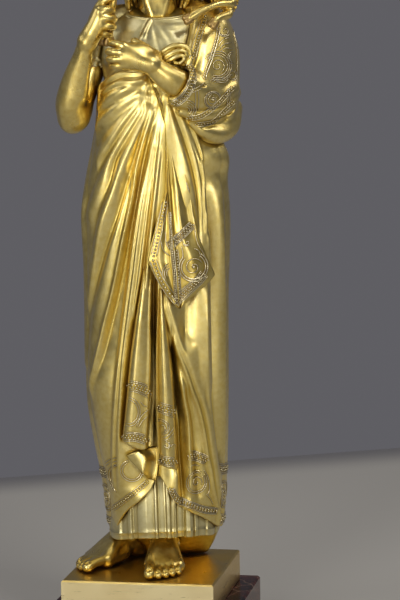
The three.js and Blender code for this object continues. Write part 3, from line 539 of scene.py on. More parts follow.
def pleat(left, right, hem, top, profile, rise):
    """A hanging pleat between two [height, x] edges, lifted by profile times rise, hollow at its foot."""
    left, right, profile, rise = curve(left), curve(right), curve(profile), broken(rise)
    share = np.linspace(0, 1, PLEAT_COLUMNS)
    hem = curve(hem)(share)

    def ring(up, inset, drop):
        height = mix(hem, top, up) + drop
        x = mix(left(height), right(height), share)
        lift = profile(share) * rise(height) - inset
        front = body_point(turn_at(x, height), height, lift)
        behind = body_point(turn_at(x, height), height, np.minimum(lift - 1.2, -1.5))
        return np.concatenate([front, behind[::-1]])

    rings = [ring(0, inset, drop) for inset, drop in PLEAT_LINING]
    rings.extend(ring(up, 0, 0.3) for up in np.linspace(0, 1, PLEAT_ROWS))
    return closed_loft(rings)


def front_pleats():
    """The left pleat, and the right one beside the opening."""
    first = pleat(
        [[60, -16], [67, -15.4], [93, -12.6], [114, -10.2], [135, -6.8], [160, -2.6]],
        [[60, -1.4], [67, -1.1], [93, 0.6], [114, 1.6], [135, 1.6], [160, 2.4]],
        [[0, 70.4], [0.25, 71.2], [0.5, 69.2], [0.8, 67], [1, 67.4]], 160,
        [[0, -0.35], [0.1, 0.35], [0.25, 0.86], [0.42, 1], [0.6, 0.86], [0.8, 0.62], [0.94, 0.5], [1, 0.05]],
        [[60, 6.6], [100, 6.4], [135, 5.6], [150, 4], [160, 1]])
    second = pleat([[48, 4.4], [62, 3.6], [93, 3.1], [114, 3.4], [135, 4.5], [152, 6]],
                   [[48, 14.4], [62, 14], [93, 13.3], [114, 11.8], [135, 9.6], [152, 7.6]],
                   [[0, 58.6], [0.3, 58.2], [0.6, 57], [1, 56]], 150,
                   [[0, 0], [0.05, 0.42], [0.12, 0.36], [0.22, 0.62], [0.42, 0.98], [0.62, 0.95],
                    [0.84, 0.6], [1, -0.1]], [[48, 6.6], [100, 6], [130, 4.6], [150, 1.4]])
    return [first, second]


CORNER_THICKNESS = (0.3, 1.1, 0)


def turned_corner():
    """The corner of the hem turned outwards under the first pleat, and the hollow it leaves beside it."""
    edge = smooth_path([[-12.6, -20.6, 62.9], [-9.4, -22.6, 59.4], [-6.4, -24.2, 56.4],
                        [-4.2, -25.2, 54.2], [-2.4, -24.6, 50.8]], 5)
    ridge = smooth_path([[-6.4, -23.2, 66], [-2.7, -25.2, 62], [-2.9, -25.6, 58], [-3.6, -25.6, 54.4],
                         [-1.6, -24.6, 50.8]], 5)
    hollow = smooth_path([[3.8, -19.4, 67], [4.2, -19.6, 62], [3.8, -19.8, 57.6], [3.2, -20.4, 53],
                          [2.2, -21.4, 49.4]], 5)
    share = np.linspace(0, 1, 12)[:, None]
    crown, dip = (0, 0.6, 0) * np.sin(np.pi * share), (0, 2.6, 0) * np.sin(np.pi * share[1:]) ** 0.7
    rings = []
    for start, middle, end in zip(edge, ridge, hollow):
        front = np.concatenate([mix(start, middle, share) - crown, mix(middle, end, share[1:]) + dip])
        rings.append(np.concatenate([front, front[::-1] + CORNER_THICKNESS]))
    return closed_loft(rings[::-1])


# The mantle's pointed end hangs over the hip, its left part turned under.
FLAP_LEFT = broken([[140.4, 14.2], [147.8, 8.8], [157.2, 3.9], [165.4, 0.4], [171, 1.5], [178.7, 3.8],
                    [190.3, 6.4], [200, 9.6], [216, 9.8], [234, 9.8], [243, 7.8], [250, 5.4], [258, 2.2]])
FLAP_RIGHT = broken([[140.4, 15.4], [146.3, 21], [152, 27.6], [156.4, 31.4], [158.4, 31], [165.9, 28.4],
                     [175.4, 25.6], [188.3, 23.6], [200, 22.6], [207.2, 20.6], [218.8, 16.7], [229, 13.8],
                     [239.7, 11.6], [250, 8.4], [258, 4.4]])
FLAP_RIDGE = broken([[140.4, 14.8], [163, 13.6], [176, 12.4], [196, 11.6], [221, 11.2], [234, 10.8],
                     [243, 9], [250, 6.4], [258, 3]])
FLAP_ROWS = 132
FLAP_COLUMNS = 96
FLAP_FOOT, FLAP_TOP = 140.6, 258
FLAP_ROUNDING = 0.7


def flap_lift(x, height):
    """How far the hanging end stands off the body: highest at its ridge, sunk on both sides of it."""
    left, right, ridge = FLAP_LEFT(height), FLAP_RIGHT(height), FLAP_RIDGE(height)
    wide_left, wide_right = np.maximum(ridge - left, 0.3), np.maximum(right - ridge, 0.3)
    to_left = np.clip((ridge - x) / wide_left, 0, 1)
    to_right = np.clip((x - ridge) / wide_right, 0, 1)
    rise = mix(7.6, 1.5, smooth(146, 234, height))
    under = 2.0 * smooth(0, 0.16, to_left) * smooth(1, 4, wide_left)
    under = under - 0.9 * smooth(0.3, 0.62, to_left) + 0.8 * smooth(0.6, 1, to_left)
    above = 1.7 * smooth(0, 0.12, to_right) - 1.5 * bump(to_right, 0.36, 0.16)
    above = above + 0.9 * bump(to_right, 0.72, 0.14)
    below = smooth(0, 0.1, to_right) - 1.2 * bump(to_right, 0.5, 0.25)
    hollow = mix(below, above, smooth(166, 186, height))
    roll = 1.5 * bump(to_right, 0.93, 0.07) * smooth(196, 204, height)
    return rise - np.where(x < ridge, under, hollow) + roll


def flap():
    """The hanging end, rounded at its edges and thicker towards the top."""
    share = 0.5 - 0.5 * np.cos(np.linspace(0, np.pi, FLAP_COLUMNS))
    rings = []
    for height in np.linspace(FLAP_FOOT, FLAP_TOP, FLAP_ROWS):
        x = mix(FLAP_LEFT(height), FLAP_RIGHT(height), share)
        lift = flap_lift(x, height)
        edge = np.minimum(share, 1 - share) * (FLAP_RIGHT(height) - FLAP_LEFT(height)) / FLAP_ROUNDING
        rounded = FLAP_ROUNDING * np.sqrt(np.clip(1 - edge ** 2, 0, 1))
        sink = 1.6 * smooth(232, 256, height)
        front = body_point(turn_at(x, height), height, lift - rounded - sink)
        thick = mix(1.3, 4.5, smooth(165, 215, height))
        behind = body_point(turn_at(x, height), height, lift - thick + rounded * 0.6 - sink)
        rings.append(np.concatenate([front, behind[::-1]]))
    return closed_loft(rings)


# Tunic

PLEATS_DRAWN_AT = 28
# The x and rise of each corner of the pleats in front, from left to right.
SKIRT_PLEATS = [[-26, -0.8], [-22.6, 0], [-18.4, 0], [-17.6, -0.9], [-14.5, -1], [-13.8, 0.2],
                [-12.1, 0.2], [-11.4, -1.1], [-8.8, -1.2], [-8.2, 0.4], [-3, 0.9], [1, -0.1], [1.5, 0.6],
                [2.7, 0.6], [3.2, -0.7], [7.5, -0.9], [8.1, 0.2], [9.7, 0.2], [10.3, -0.7], [12.1, -0.8],
                [12.5, -0.1], [13, -0.1], [13.8, -2], [18.1, -2.3], [18.8, 0], [20.8, 0.6], [22.6, 0],
                [23.2, -1], [23.7, 0.1], [25.4, 0.1], [26.2, -0.8], [30.4, -0.7], [31.2, 0.1], [34.6, 0],
                [36.6, -1]]
TUNIC_HEM = 18
TUNIC_INSET = 2.4
# Height above the hem, and rise, of the rings from the lining to the top.
SKIRT_LEVELS = [(6, -5), (0.6, -2.4), (0, -1.6), (-0.1, -0.9), (0, -0.3), (0.15, -0.1), (0.4, 0),
                (0.8, 0), (3, 0), (3.3, 0.2), (3.6, 0.2), (3.9, 0), (6, 0), (12, -0.2), (20, -1.2),
                (27, -3.2), (33, -6.4), (44, -8)]
SKIRT_COLUMNS = 760
BACK_PLEATS = 17


def skirt_lift(turns):
    """Carved pleats: one by one in front, evenly round the back."""
    places, lifts = np.array(SKIRT_PLEATS).T
    places = turn_at(places, PLEATS_DRAWN_AT)
    front = np.interp(turns, places, lifts)
    spare = 2 * np.pi - (places[-1] - places[0])
    t = ((turns - places[-1]) % (2 * np.pi)) / spare * BACK_PLEATS % 1
    crown = np.clip(1 - np.abs(2 * t - 1) ** 3, 0, 1) ** 0.6
    lean = 0.5 * (t - 0.5) * (1 - (2 * t - 1) ** 2)
    back = 1.9 * (crown + lean) - 1.5
    return np.where((turns > places[0]) & (turns < places[-1]), front, back)


def tunic_skirt():
    """The pleated skirt below the mantle, its hem lower at both sides."""
    turns = full_turn(SKIRT_COLUMNS)
    pleats = skirt_lift(turns)
    dip = 3.2 * smooth(0.2, 1.3, -turns) + 1.8 * smooth(0.5, 1.3, turns)
    dip = dip * (1 - smooth(1.9, 2.9, np.abs(turns)))
    rings = []
    for above, lift in SKIRT_LEVELS:
        height = TUNIC_HEM + above - dip * (1 - smooth(2, 24, above))
        flare = 0.5 * (1 - smooth(0, 18, above))
        spread = 2.4 * bump(turns, -1.45, 0.5) * (1 - smooth(4, 22, above))
        rings.append(body_point(turns, height, pleats + lift + flare + spread - TUNIC_INSET))
    return closed_loft(rings)


# Behind the feet the cast cloth closes inwards and stands on the plinth: height, half width, front and back.
STAND_LEVELS = [(0, 21, 22, 28), (0.6, 22.4, 20.6, 29.4), (3, 24, 18, 30.4), (8, 26.4, 13, 31),
                (14, 28.6, 7, 31), (20, 30.4, 1, 31), (27, 31, -3, 31)]
STAND_MIDDLE = 7.5


def standing_cloth():
    """The closed mass of cloth under the hem, behind the feet."""
    turns = full_turn(120)
    rings = []
    for height, wide, front, back in STAND_LEVELS:
        x = STAND_MIDDLE + wide * signed_power(np.sin(turns), 0.8)
        y = (front + back) / 2 - (back - front) / 2 * signed_power(np.cos(turns), 0.8)
        rings.append(np.stack([x, y, 0 * x + height], -1))
    return closed_loft(rings)


# Height, sink under the body's surface, scale about the neck's axis, and the step of that axis backwards.
CHEST_LEVELS = [(225, -5, 1, 0), (240, -4.6, 1, 0), (254, -4.2, 0.99, 0), (261, -2.4, 0.985, 0),
                (265, -0.8, 0.982, 0), (268, -0.4, 0.98, 0), (273, -0.2, 0.97, 0), (277, 0, 0.955, 0),
                (281, 0, 0.92, 0.2), (284, 0, 0.86, 0.5), (287, 0, 0.76, 0.8), (289, 0, 0.66, 1),
                (291, 0, 0.53, 1.2), (293, 0, 0.42, 1.5)]
NECKLINE = curve([[0, 286.8], [35, 288], [80, 290.6], [180, 291.2]])
NECK_X = 7.5


def chest_folds(x, height):
    """Fine folds that fan out from the neck over the breast, with one larger one in their middle."""
    fan = np.arctan2(x - 3.2, 292 - height)
    fade = smooth(236, 262, height) * (1 - smooth(280, 287, height))
    folds = 0.3 * np.abs(np.sin(9.5 * fan + 0.7)) ** 1.4 * bump(x, 6, 13)
    main = 1.2 * bump(x, 3.7 - 0.5 * (287 - height), 0.8) * smooth(276, 280, height)
    return folds * fade + main * (1 - smooth(285, 289, height)) + 0.2 * fade * np.sin(0.34 * x + 0.1 * height)


def chest_ring(turns, heights, lift, folds):
    """A ring round the shoulders and breast, at one height for each turn; folds is 1 where it is folded."""
    levels = np.array(CHEST_LEVELS)
    sink, scale, back = (np.interp(heights, levels[:, 0], levels[:, i]) for i in (1, 2, 3))
    points = body_point(turns, heights, sink + lift)
    middle = np.stack([NECK_X + 0 * heights, 1 + back, heights], -1)
    points = middle + (points - middle) * scale[:, None]
    points[:, 1] -= folds * chest_folds(points[:, 0], heights) * np.clip(np.cos(turns) * 1.5, 0, 1)
    return points


def chest():
    """The tunic over the breast and shoulders, up to its neckline."""
    turns = full_turn(280)
    top = NECKLINE(np.abs(np.degrees(turns)))
    rings = [chest_ring(turns, mix(225, top, share), 0, 1) for share in np.linspace(0, 1, 90)]
    for rise, lift in ((0.1, 0.5), (0.5, 0.8), (0.9, 0.6), (0.9, 0), (0.3, -1.2), (-2, -2)):
        rings.append(chest_ring(turns, top + rise, lift, 0))
    return closed_loft(rings)


def bare_chest():
    """The skin inside the neckline."""
    turns = full_turn(200)
    rings = [chest_ring(turns, height + 0 * turns, -0.9, 0) for height in np.linspace(279, 292.6, 40)]
    return closed_loft(rings)


def ring_path(middle, axis, reach, radius, count=28):
    """Stops of a closed ring round an axis."""
    axis = np.array(axis, float) / np.linalg.norm(axis)
    across, other = square_to(axis)
    turns = np.linspace(0, 2 * np.pi, count + 1)[:, None]
    places = np.array(middle) + reach * (np.cos(turns) * across + np.sin(turns) * other)
    return np.hstack([places, np.full((count + 1, 1), radius)])


def shoulder_sleeve():
    """The tunic's short sleeve over the right shoulder."""
    form = Form((-46, -16, 254), (4, 24, 302))
    form.limb([[-8, 4, 288, 7], [-16, 4.4, 284, 9.4], [-22.5, 3.6, 275, 10], [-25.5, 2.6, 264, 9.2]], 2)
    form.limb([[-10, 7, 284, 6], [-12, 7.4, 276, 6], [-9, 6, 268, 4]], 6)
    form.limb([[-27, 2, 256.6, 10.6], [-28.5, 1.6, 252, 13]], 0.4, cut=True)
    for i in range(7):
        turn = math.radians(-150 + 42 * i)
        across, ahead = 9.6 * math.sin(turn), -9.6 * math.cos(turn)
        form.limb([[-22.5 + across, 3.6 + ahead, 278, 0.5], [-25.5 + across, 2.6 + ahead, 264, 1.0]], 1.2,
                  cut=True)
    form.limb(ring_path((-25.4, 2.6, 266.6), (-4, -1, -11), 9.2, 0.7), 0.6, 1)
    return form.mesh()


# Rounded forms
# A rounded form is a field of signed distances over a box of cells, meshed where it crosses zero.

FAR = 30.0


def cell_size(fine):
    """The size of a form's cells, as given."""
    return fine


CELL = cell_size(0.45)


def merged(a, b, fillet):
    """The union of two fields, filleted."""
    if fillet <= 0:
        return np.minimum(a, b)
    share = np.clip(0.5 + 0.5 * (b - a) / fillet, 0, 1)
    return mix(b, a, share) - fillet * share * (1 - share)


def rod(cells, start, end):
    """Distances to a round bar between two [x, y, z, radius] ends."""
    along = end[:3] - start[:3]
    size = max(float(along @ along), 1e-9)
    offset = [axis - origin for axis, origin in zip(cells, start)]
    share = np.clip(sum(o * a for o, a in zip(offset, along)) / size, 0, 1)
    apart = sum((o - share * a) ** 2 for o, a in zip(offset, along))
    return np.sqrt(apart) - (start[3] + share * (end[3] - start[3]))


def egg(cells, middle, radii):
    """Rough distances to an egg with three radii."""
    offset = [axis - origin for axis, origin in zip(cells, middle)]
    near = np.sqrt(sum((o / r) ** 2 for o, r in zip(offset, radii)))
    steep = np.sqrt(sum((o / r ** 2) ** 2 for o, r in zip(offset, radii)))
    return near * (near - 1) / np.maximum(steep, 1e-6)


class Form:
    """A rounded form over a box, built up and cut away piece by piece."""

    def __init__(self, low, high, cell=CELL):
        self.cell = cell
        self.axes = [np.arange(a, b + cell, cell, dtype=np.float32) for a, b in zip(low, high)]
        self.values = np.full([len(axis) for axis in self.axes], FAR, np.float32)

    def change(self, low, high, field, fillet, cut):
        """Joins a field to the form, or cuts it out, inside one window of the form's box."""
        window = tuple(slice(*np.searchsorted(axis, (start - self.cell, end + self.cell)))
                       for axis, start, end in zip(self.axes, low, high))
        cells = np.meshgrid(*(axis[part] for axis, part in zip(self.axes, window)), indexing="ij",
                            sparse=True)
        old = self.values[window]
        if old.size:
            sign = -1 if cut else 1
            self.values[window] = sign * merged(sign * old, field(cells), fillet)

    def limb(self, stops, fillet=1.0, steps=8, cut=False):
        """Joins on, or cuts out, a round limb along a smooth path of [x, y, z, radius] stops."""
        path = smooth_path(stops, steps)
        radius = path[:, 3].max() + fillet + 1
        low, high = path[:, :3].min(0) - radius, path[:, :3].max(0) + radius

        def field(cells):
            return np.minimum.reduce([rod(cells, a, b) for a, b in zip(path, path[1:])])

        self.change(low, high, field, fillet, cut)

    def egg(self, middle, radii, fillet=1.0, cut=False):
        """Joins on, or cuts out, an egg with its three radii along the axes."""
        middle, reach = np.array(middle), np.array(radii) + fillet + 1
        self.change(middle - reach, middle + reach, lambda cells: egg(cells, middle, radii), fillet, cut)

    def above(self, height):
        """Cuts the form off flat below a height."""
        self.values = np.maximum(self.values, height - self.axes[2][None, None, :])

    def mesh(self):
        """Points and four-sided faces where the field is zero."""
        inside = self.values < 0
        limits = np.array(inside.shape) - 1
        places, quads = [], []
        for axis in range(3):
            near = tuple(slice(None, -1) if i == axis else slice(None) for i in range(3))
            far = tuple(slice(1, None) if i == axis else slice(None) for i in range(3))
            at = np.argwhere(inside[near] != inside[far])
            first, second = (i for i in range(3) if i != axis)
            at = at[(at[:, first] > 0) & (at[:, second] > 0) & (at[:, first] < limits[first])
                    & (at[:, second] < limits[second])]
            start = self.values[near][tuple(at.T)]
            end = self.values[far][tuple(at.T)]
            place = at.astype(float)
            place[:, axis] += start / (start - end)
            quad = []
            for step_first, step_second in ((0, 0), (1, 0), (1, 1), (0, 1)):
                corner = at.copy()
                corner[:, first] -= step_first
                corner[:, second] -= step_second
                quad.append(np.ravel_multi_index(tuple(corner.T), limits))
            quad = np.stack(quad, -1)
            outward = (start < 0) != (axis == 1)
            places.append(place)
            quads.append(np.where(outward[:, None], quad, quad[:, ::-1]))
        quads = np.concatenate(quads)
        places = np.repeat(np.concatenate(places), 4, axis=0)
        _, faces, count = np.unique(quads.ravel(), return_inverse=True, return_counts=True)
        faces = faces.reshape(-1)
        points = np.stack([np.bincount(faces, places[:, i]) / count for i in range(3)], -1)
        origin = np.array([axis[0] for axis in self.axes], float)
        return origin + self.cell * points, faces.reshape(-1, 4)


# Arms and hands

def make_hand(form, wrist, fingers, thumb):
    """A hand from its wrist stop: four fingers, each from its knuckle on, and a thumb from its root on."""
    wrist = np.array(wrist, float)
    for finger in fingers:
        knuckle = np.array(finger[0], float)
        form.limb([wrist, mix(wrist, knuckle, 0.5), knuckle], 2.2)
    for finger in fingers:
        form.limb(finger, 0.5)
    form.limb([mix(wrist, np.array(thumb[0], float), 0.4), thumb[0]], 2.6)
    form.limb(thumb, 1.4)


RIGHT_FINGERS = [
    [[-21.6, -24.6, 291.6, 2.3], [-17.8, -24.4, 292.2, 2.1], [-15.2, -20.6, 291.8, 1.9],
     [-17, -16.4, 291, 1.7]],
    [[-21, -25.2, 287.8, 2.4], [-17, -24.8, 288, 2.2], [-14.6, -20.8, 287.4, 2.0],
     [-16, -16.4, 286.6, 1.8]],
    [[-21.2, -24.8, 284.2, 2.3], [-17.2, -24.4, 283.9, 2.1], [-15, -20.6, 283.5, 1.9],
     [-16.4, -16.4, 283, 1.7]],
    [[-22.2, -23.8, 280.8, 2.1], [-18.8, -23.4, 280, 1.9], [-16.8, -20, 279.6, 1.7],
     [-18, -16.6, 279.4, 1.6]],
]
RIGHT_THUMB = [[-26.4, -20, 281.5, 3.3], [-24, -18, 289, 2.9], [-20.4, -17.2, 295.4, 2.6],
               [-15.8, -18, 298.4, 2.2]]


def right_arm():
    """The raised arm, its hand closed round the lamb's hind legs."""
    form = Form((-50, -34, 224), (-8, 16, 304))
    form.limb([[-14, 4, 285, 8.5], [-21, 4, 280, 9], [-27, 2, 263, 7.6], [-33, 0, 247, 7.6],
               [-36, -4, 238, 8]], 3)
    form.limb([[-36.8, -4.5, 238, 8], [-37.6, -9, 245, 7.9], [-35.6, -13, 256, 6.4], [-31.8, -17.6, 267, 4.9],
               [-28.6, -20.6, 275, 4.3]], 2.4)
    form.limb([[-34.5, -1, 241, 6.8], [-37.6, -3, 234.6, 5.2]], 3)
    form.limb([[-33.5, -13, 249, 4.6], [-31.5, -16, 257, 3.6], [-29, -19, 267, 2.6]], 3)
    make_hand(form, [-28.2, -21, 276.5, 4.1], RIGHT_FINGERS, RIGHT_THUMB)
    form.limb([[-26, -23, 281, 3.6], [-23, -23.6, 286, 3.8], [-21.4, -23.4, 290.6, 3.4]], 3)
    form.limb([[-30.4, -20.6, 274.6, 1.2], [-31.8, -19.8, 272.4, 1.6]], 2.2)
    return form.mesh()


LEFT_FINGERS = [
    [[-9.8, -34, 274.4, 2.1], [-13.6, -33.6, 275.4, 1.9], [-16, -30.6, 275.6, 1.7], [-15, -27, 275, 1.6]],
    [[-11, -34.8, 271, 2.2], [-15.4, -34.2, 271.4, 2.0], [-17.6, -30.8, 271.4, 1.8],
     [-15.4, -27, 271.2, 1.6]],
    [[-11, -34.4, 267.6, 2.1], [-15.2, -33.8, 267.7, 1.9], [-17.4, -30.6, 267.6, 1.7],
     [-15.2, -27, 267.4, 1.6]],
    [[-10.2, -33.2, 264.4, 1.9], [-14, -32.6, 264.2, 1.7], [-16, -29.8, 264.2, 1.5],
     [-14.2, -26.8, 264.4, 1.4]],
]
LEFT_THUMB = [[5.4, -28.6, 268.4, 3.6], [1.8, -26.6, 271.6, 3], [-1.6, -25.2, 274.2, 2.5],
              [-4.4, -24.6, 276.2, 2.0]]


def left_arm():
    """The forearm laid across the breast."""
    form = Form((-24, -42, 234), (40, -6, 288))
    form.limb([[34, -12, 245, 7.4], [24, -22.6, 251.4, 7.2], [14, -29, 257.4, 6.3], [8, -31.4, 261.6, 5.2],
               [4.6, -32.4, 264.2, 4.7]], 2)
    form.limb([[21, -26, 248.4, 4.6], [12, -31, 254.6, 4], [6, -33, 260, 2.8]], 3)
    form.egg((-3.6, -32.2, 269.4), (9, 4.2, 6.6), 2)
    make_hand(form, [3.4, -33, 265.2, 4.2], LEFT_FINGERS, LEFT_THUMB)
    return form.mesh()


# Feet
# A foot lies along its own length from the heel, and stands turned about the heel.

# Each toe's place across, its root and tip along the foot, and its radius.
TOES = [(-6.4, 35, 51, 2.9), (-1.9, 37, 50, 2.1), (1.8, 36.4, 48, 2.0), (5.1, 35, 45, 1.9),
        (8.2, 32.5, 41.5, 1.8)]


def foot(heel_x, heel_y, degrees, side):
    """A bare foot; side is 1 where its big toe is to the viewer's left, and -1 where it is to the right."""
    c, s = math.cos(math.radians(degrees)), math.sin(math.radians(degrees))

    def at(along, across, up, radius):
        return [heel_x + along * s + side * across * c, heel_y - along * c + side * across * s, up, radius]

    corners = np.array([at(along, across, 0, 0)[:2] for along in (-8, 56) for across in (-14, 14)])
    form = Form((*corners.min(0), -1.5), (*corners.max(0), 30))
    form.limb([at(5, 0, 6, 6.6), at(12, 0, 8, 6.4), at(22, -1, 7.6, 5.8)], 3)
    form.limb([at(9, 0, 10, 6.6), at(10.5, 0, 20, 6.2), at(10.5, 0, 30, 6.6)], 5)
    form.limb([at(14, -5.6, 12, 2.2), at(13.4, -5.4, 12.2, 2.2)], 2.6)
    form.limb([at(12, 5.8, 10.6, 2.2), at(11.4, 5.6, 10.8, 2.2)], 2.6)
    for across, root, _, radius in TOES:
        form.limb([at(15, across * 0.25, 13, 4.6), at(26, across * 0.7, 9 - 0.2 * across, 3.4),
                   at(root, across, radius + 1.6, radius + 0.5)], 2.2)
        form.limb([at(20, across * 0.5, 5, 4.4), at(root, across, 2.6, 2.8)], 3)
    for across, root, tip, radius in TOES:
        middle = mix(root, tip, 0.55)
        form.limb([at(root, across, radius + 1.4, radius), at(middle, across, radius + 1.3, radius * 0.86),
                   at(tip - radius * 0.6, across, radius * 0.95, radius)], 0.7)
        form.egg(at(tip - 0.4 * radius, across, radius * 1.9, 0)[:3], (radius * 0.55,) * 3, 0.3, cut=True)
    form.above(0)
    return form.mesh()


# Head

HEAD = np.array([NECK_X, -5.0, 334.0])


def face(across, ahead, up, radius=None):
    """A place on the head, from the middle of the skull, as a stop or a point."""
    place = [HEAD[0] + across, HEAD[1] - ahead, HEAD[2] + up]
    return np.array(place) if radius is None else [*place, radius]


def skull(form):
    """The neck, and the rounded forms of the skull, the face and the jaw."""
    form.limb([face(0, -6.5, -50, 11.5), face(0, -6, -38, 9.8), face(0, -5, -24, 9.4),
               face(0, -4, -12, 9.4)], 3)
    form.egg(face(0, -2.5, 5), (14.4, 17.6, 17), 2)
    form.egg(face(0, 3.2, -7.5), (11.8, 12.6, 17), 4)
    form.egg(face(0, 5.6, -15.4), (8.8, 9, 8.6), 4)


def cheek_and_brow(form, side):
    """A tendon of the neck, a cheek, and a brow over a shallow socket."""
    form.limb([face(side * 10.2, -4, -19, 1.6), face(side * 6.6, 0.6, -34, 1.4),
               face(side * 2.4, 3, -45, 1.2)], 4)
    form.egg(face(side * 7.2, 9, -7), (4, 4.6, 4.6), 3.4)
    form.limb([face(side * 2.4, 14.4, 4.2, 0.9), face(side * 5.8, 13.7, 5, 1.2),
               face(side * 9.8, 9.8, 3.4, 1.1)], 3.4)
    form.egg(face(side * 6, 18.3, -0.6), (4.4, 4.4, 3), 3.4, cut=True)


def eye(form, side):
    """Lids as an egg, opened along a slit to show the eyeball, with the crease over the upper lid."""
    form.egg(face(side * 5.5, 11.3, -1.2), (3.5, 3.7, 2.8), 0.9)
    form.limb([face(side * 2.9, 13.9, -2.1, 0.3), face(side * 4.3, 15.1, -1.6, 0.75),
               face(side * 5.8, 15.3, -1.5, 0.95), face(side * 7.1, 14.7, -1.8, 0.75),
               face(side * 8.4, 13.2, -2.2, 0.3)], 0.2, cut=True)
    form.egg(face(side * 5.5, 11.3, -1.3), (3.1, 3.25, 2.5), 0.1)
    form.limb([face(side * 2.8, 14.4, 0.2, 0.2), face(side * 5.5, 15.3, 1.6, 0.25),
               face(side * 8.6, 13.2, 0.6, 0.2)], 0.6, cut=True)


def ear(form, side):
    form.limb([face(side * 14.2, -2, 2.4, 1.1), face(side * 15.4, -3.6, 1, 1.2),
               face(side * 15, -4.2, -3, 1.1), face(side * 13.8, -2, -6.6, 1.3)], 0.8)


def nose(form):
    """The bridge and tip, and the two nostrils."""
    form.limb([face(0, 14, 2.8, 1.3), face(0, 16, -2.4, 1.4), face(0, 18.4, -6.8, 1.7)], 2.4)
    form.egg(face(0, 18.2, -7.4), (2, 2.2, 1.8), 1.2)
    for side in (-1, 1):
        form.egg(face(side * 2.3, 16.2, -8.2), (1.5, 2.1, 1.4), 1.1)
        form.egg(face(side * 1.2, 17.4, -9.7), (0.6, 0.9, 0.6), 0.4, cut=True)


def mouth_and_chin(form):
    """The closed lips with the groove over them, the line between them, and the chin."""
    form.egg(face(0, 12.8, -14), (5, 3.2, 4.2), 2.6)
    form.limb([face(0, 16.6, -10.8, 0.2), face(0, 16.7, -11.8, 0.25)], 0.9, cut=True)
    form.limb([face(-3.9, 14.1, -13.7, 0.4), face(-1.5, 15.9, -12.9, 0.8), face(0, 16, -13.2, 0.75),
               face(1.5, 15.9, -12.9, 0.8), face(3.9, 14.1, -13.7, 0.4)], 0.8)
    form.limb([face(-3, 14.5, -14.9, 0.6), face(0, 15.9, -15.4, 1.1), face(3, 14.5, -14.9, 0.6)], 0.9)
    form.limb([face(-4.1, 14.9, -13.8, 0.1), face(0, 17, -14.2, 0.15), face(4.1, 14.9, -13.8, 0.1)], 0.35,
              cut=True)
    form.limb([face(-2, 16.6, -17.6, 0.8), face(2, 16.6, -17.6, 0.8)], 1.6, cut=True)
    form.egg(face(0, 12.4, -20.6), (4, 3.6, 3.4), 2.8)


def head():
    """The neck and a calm, plain face."""
    form = Form((-12, -30, 282), (27, 20, 356), cell_size(0.34))
    skull(form)
    for side in (-1, 1):
        cheek_and_brow(form, side)
        eye(form, side)
        ear(form, side)
    nose(form)
    mouth_and_chin(form)
    return form.mesh()


# Hair
# Wavy locks fall from a middle parting, over the ears and down to the shoulders.

HAIR_WIDE = curve([[288, 13.6], [296, 15.4], [306, 16.8], [318, 17.6], [328, 17.6], [336, 17.3]])
HAIR_DEEP = curve([[288, 11], [296, 14], [306, 16.6], [318, 19], [328, 20.4], [336, 20.6]])
HAIR_MIDDLE = HEAD + (0, 2.6, 2)
CROWN = np.array([17.3, 20.6, 22.6])
LOCKS = 17
SMALL_LOCKS = 6
WAVE_STEP = 1.15


def hair_place(degrees, height, lift):
    """A place on the hanging hair, at a turn from the front and a height."""
    turn = math.radians(degrees)
    return np.array([HAIR_MIDDLE[0] + (float(HAIR_WIDE(height)) + lift) * math.sin(turn),
                     HAIR_MIDDLE[1] - (float(HAIR_DEEP(height)) + lift) * math.cos(turn), height])


def crown_place(part, degrees, share, lift):
    """From the parting, at an angle over the crown, down to the widest level at a turn from the front."""
    turn = math.radians(degrees)
    start = np.array([0, -math.sin(part), math.cos(part)])
    end = np.array([math.sin(turn), -math.cos(turn), 0])
    angle = math.acos(float(start @ end))
    direction = (math.sin((1 - share) * angle) * start + math.sin(share * angle) * end) / math.sin(angle)
    return HAIR_MIDDLE + direction * (CROWN + lift)


def lock(side, degrees, part, end, swing, phase, radius):
    """Stops of one wavy lock from the parting to its tip."""
    stops = []
    for share in (0.02, 0.2, 0.4, 0.6, 0.8):
        wave = swing * 0.35 * math.sin(4.2 * share + phase) * share
        place = crown_place(part, side * max(degrees + wave, 4), share, -0.6 * radius)
        place[0] += side * 0.5
        stops.append([*place, radius * mix(0.72, 1, share)])
    for step, height in enumerate(np.linspace(HAIR_MIDDLE[2] - 2, end, 9)):
        wave = swing * math.sin(WAVE_STEP * step + phase)
        out = math.cos(WAVE_STEP * step + phase) - 0.4 * radius
        taper = mix(1, 0.55, (step / 8) ** 2)
        stops.append([*hair_place(side * (degrees + wave), height, out), radius * taper])
    return stops


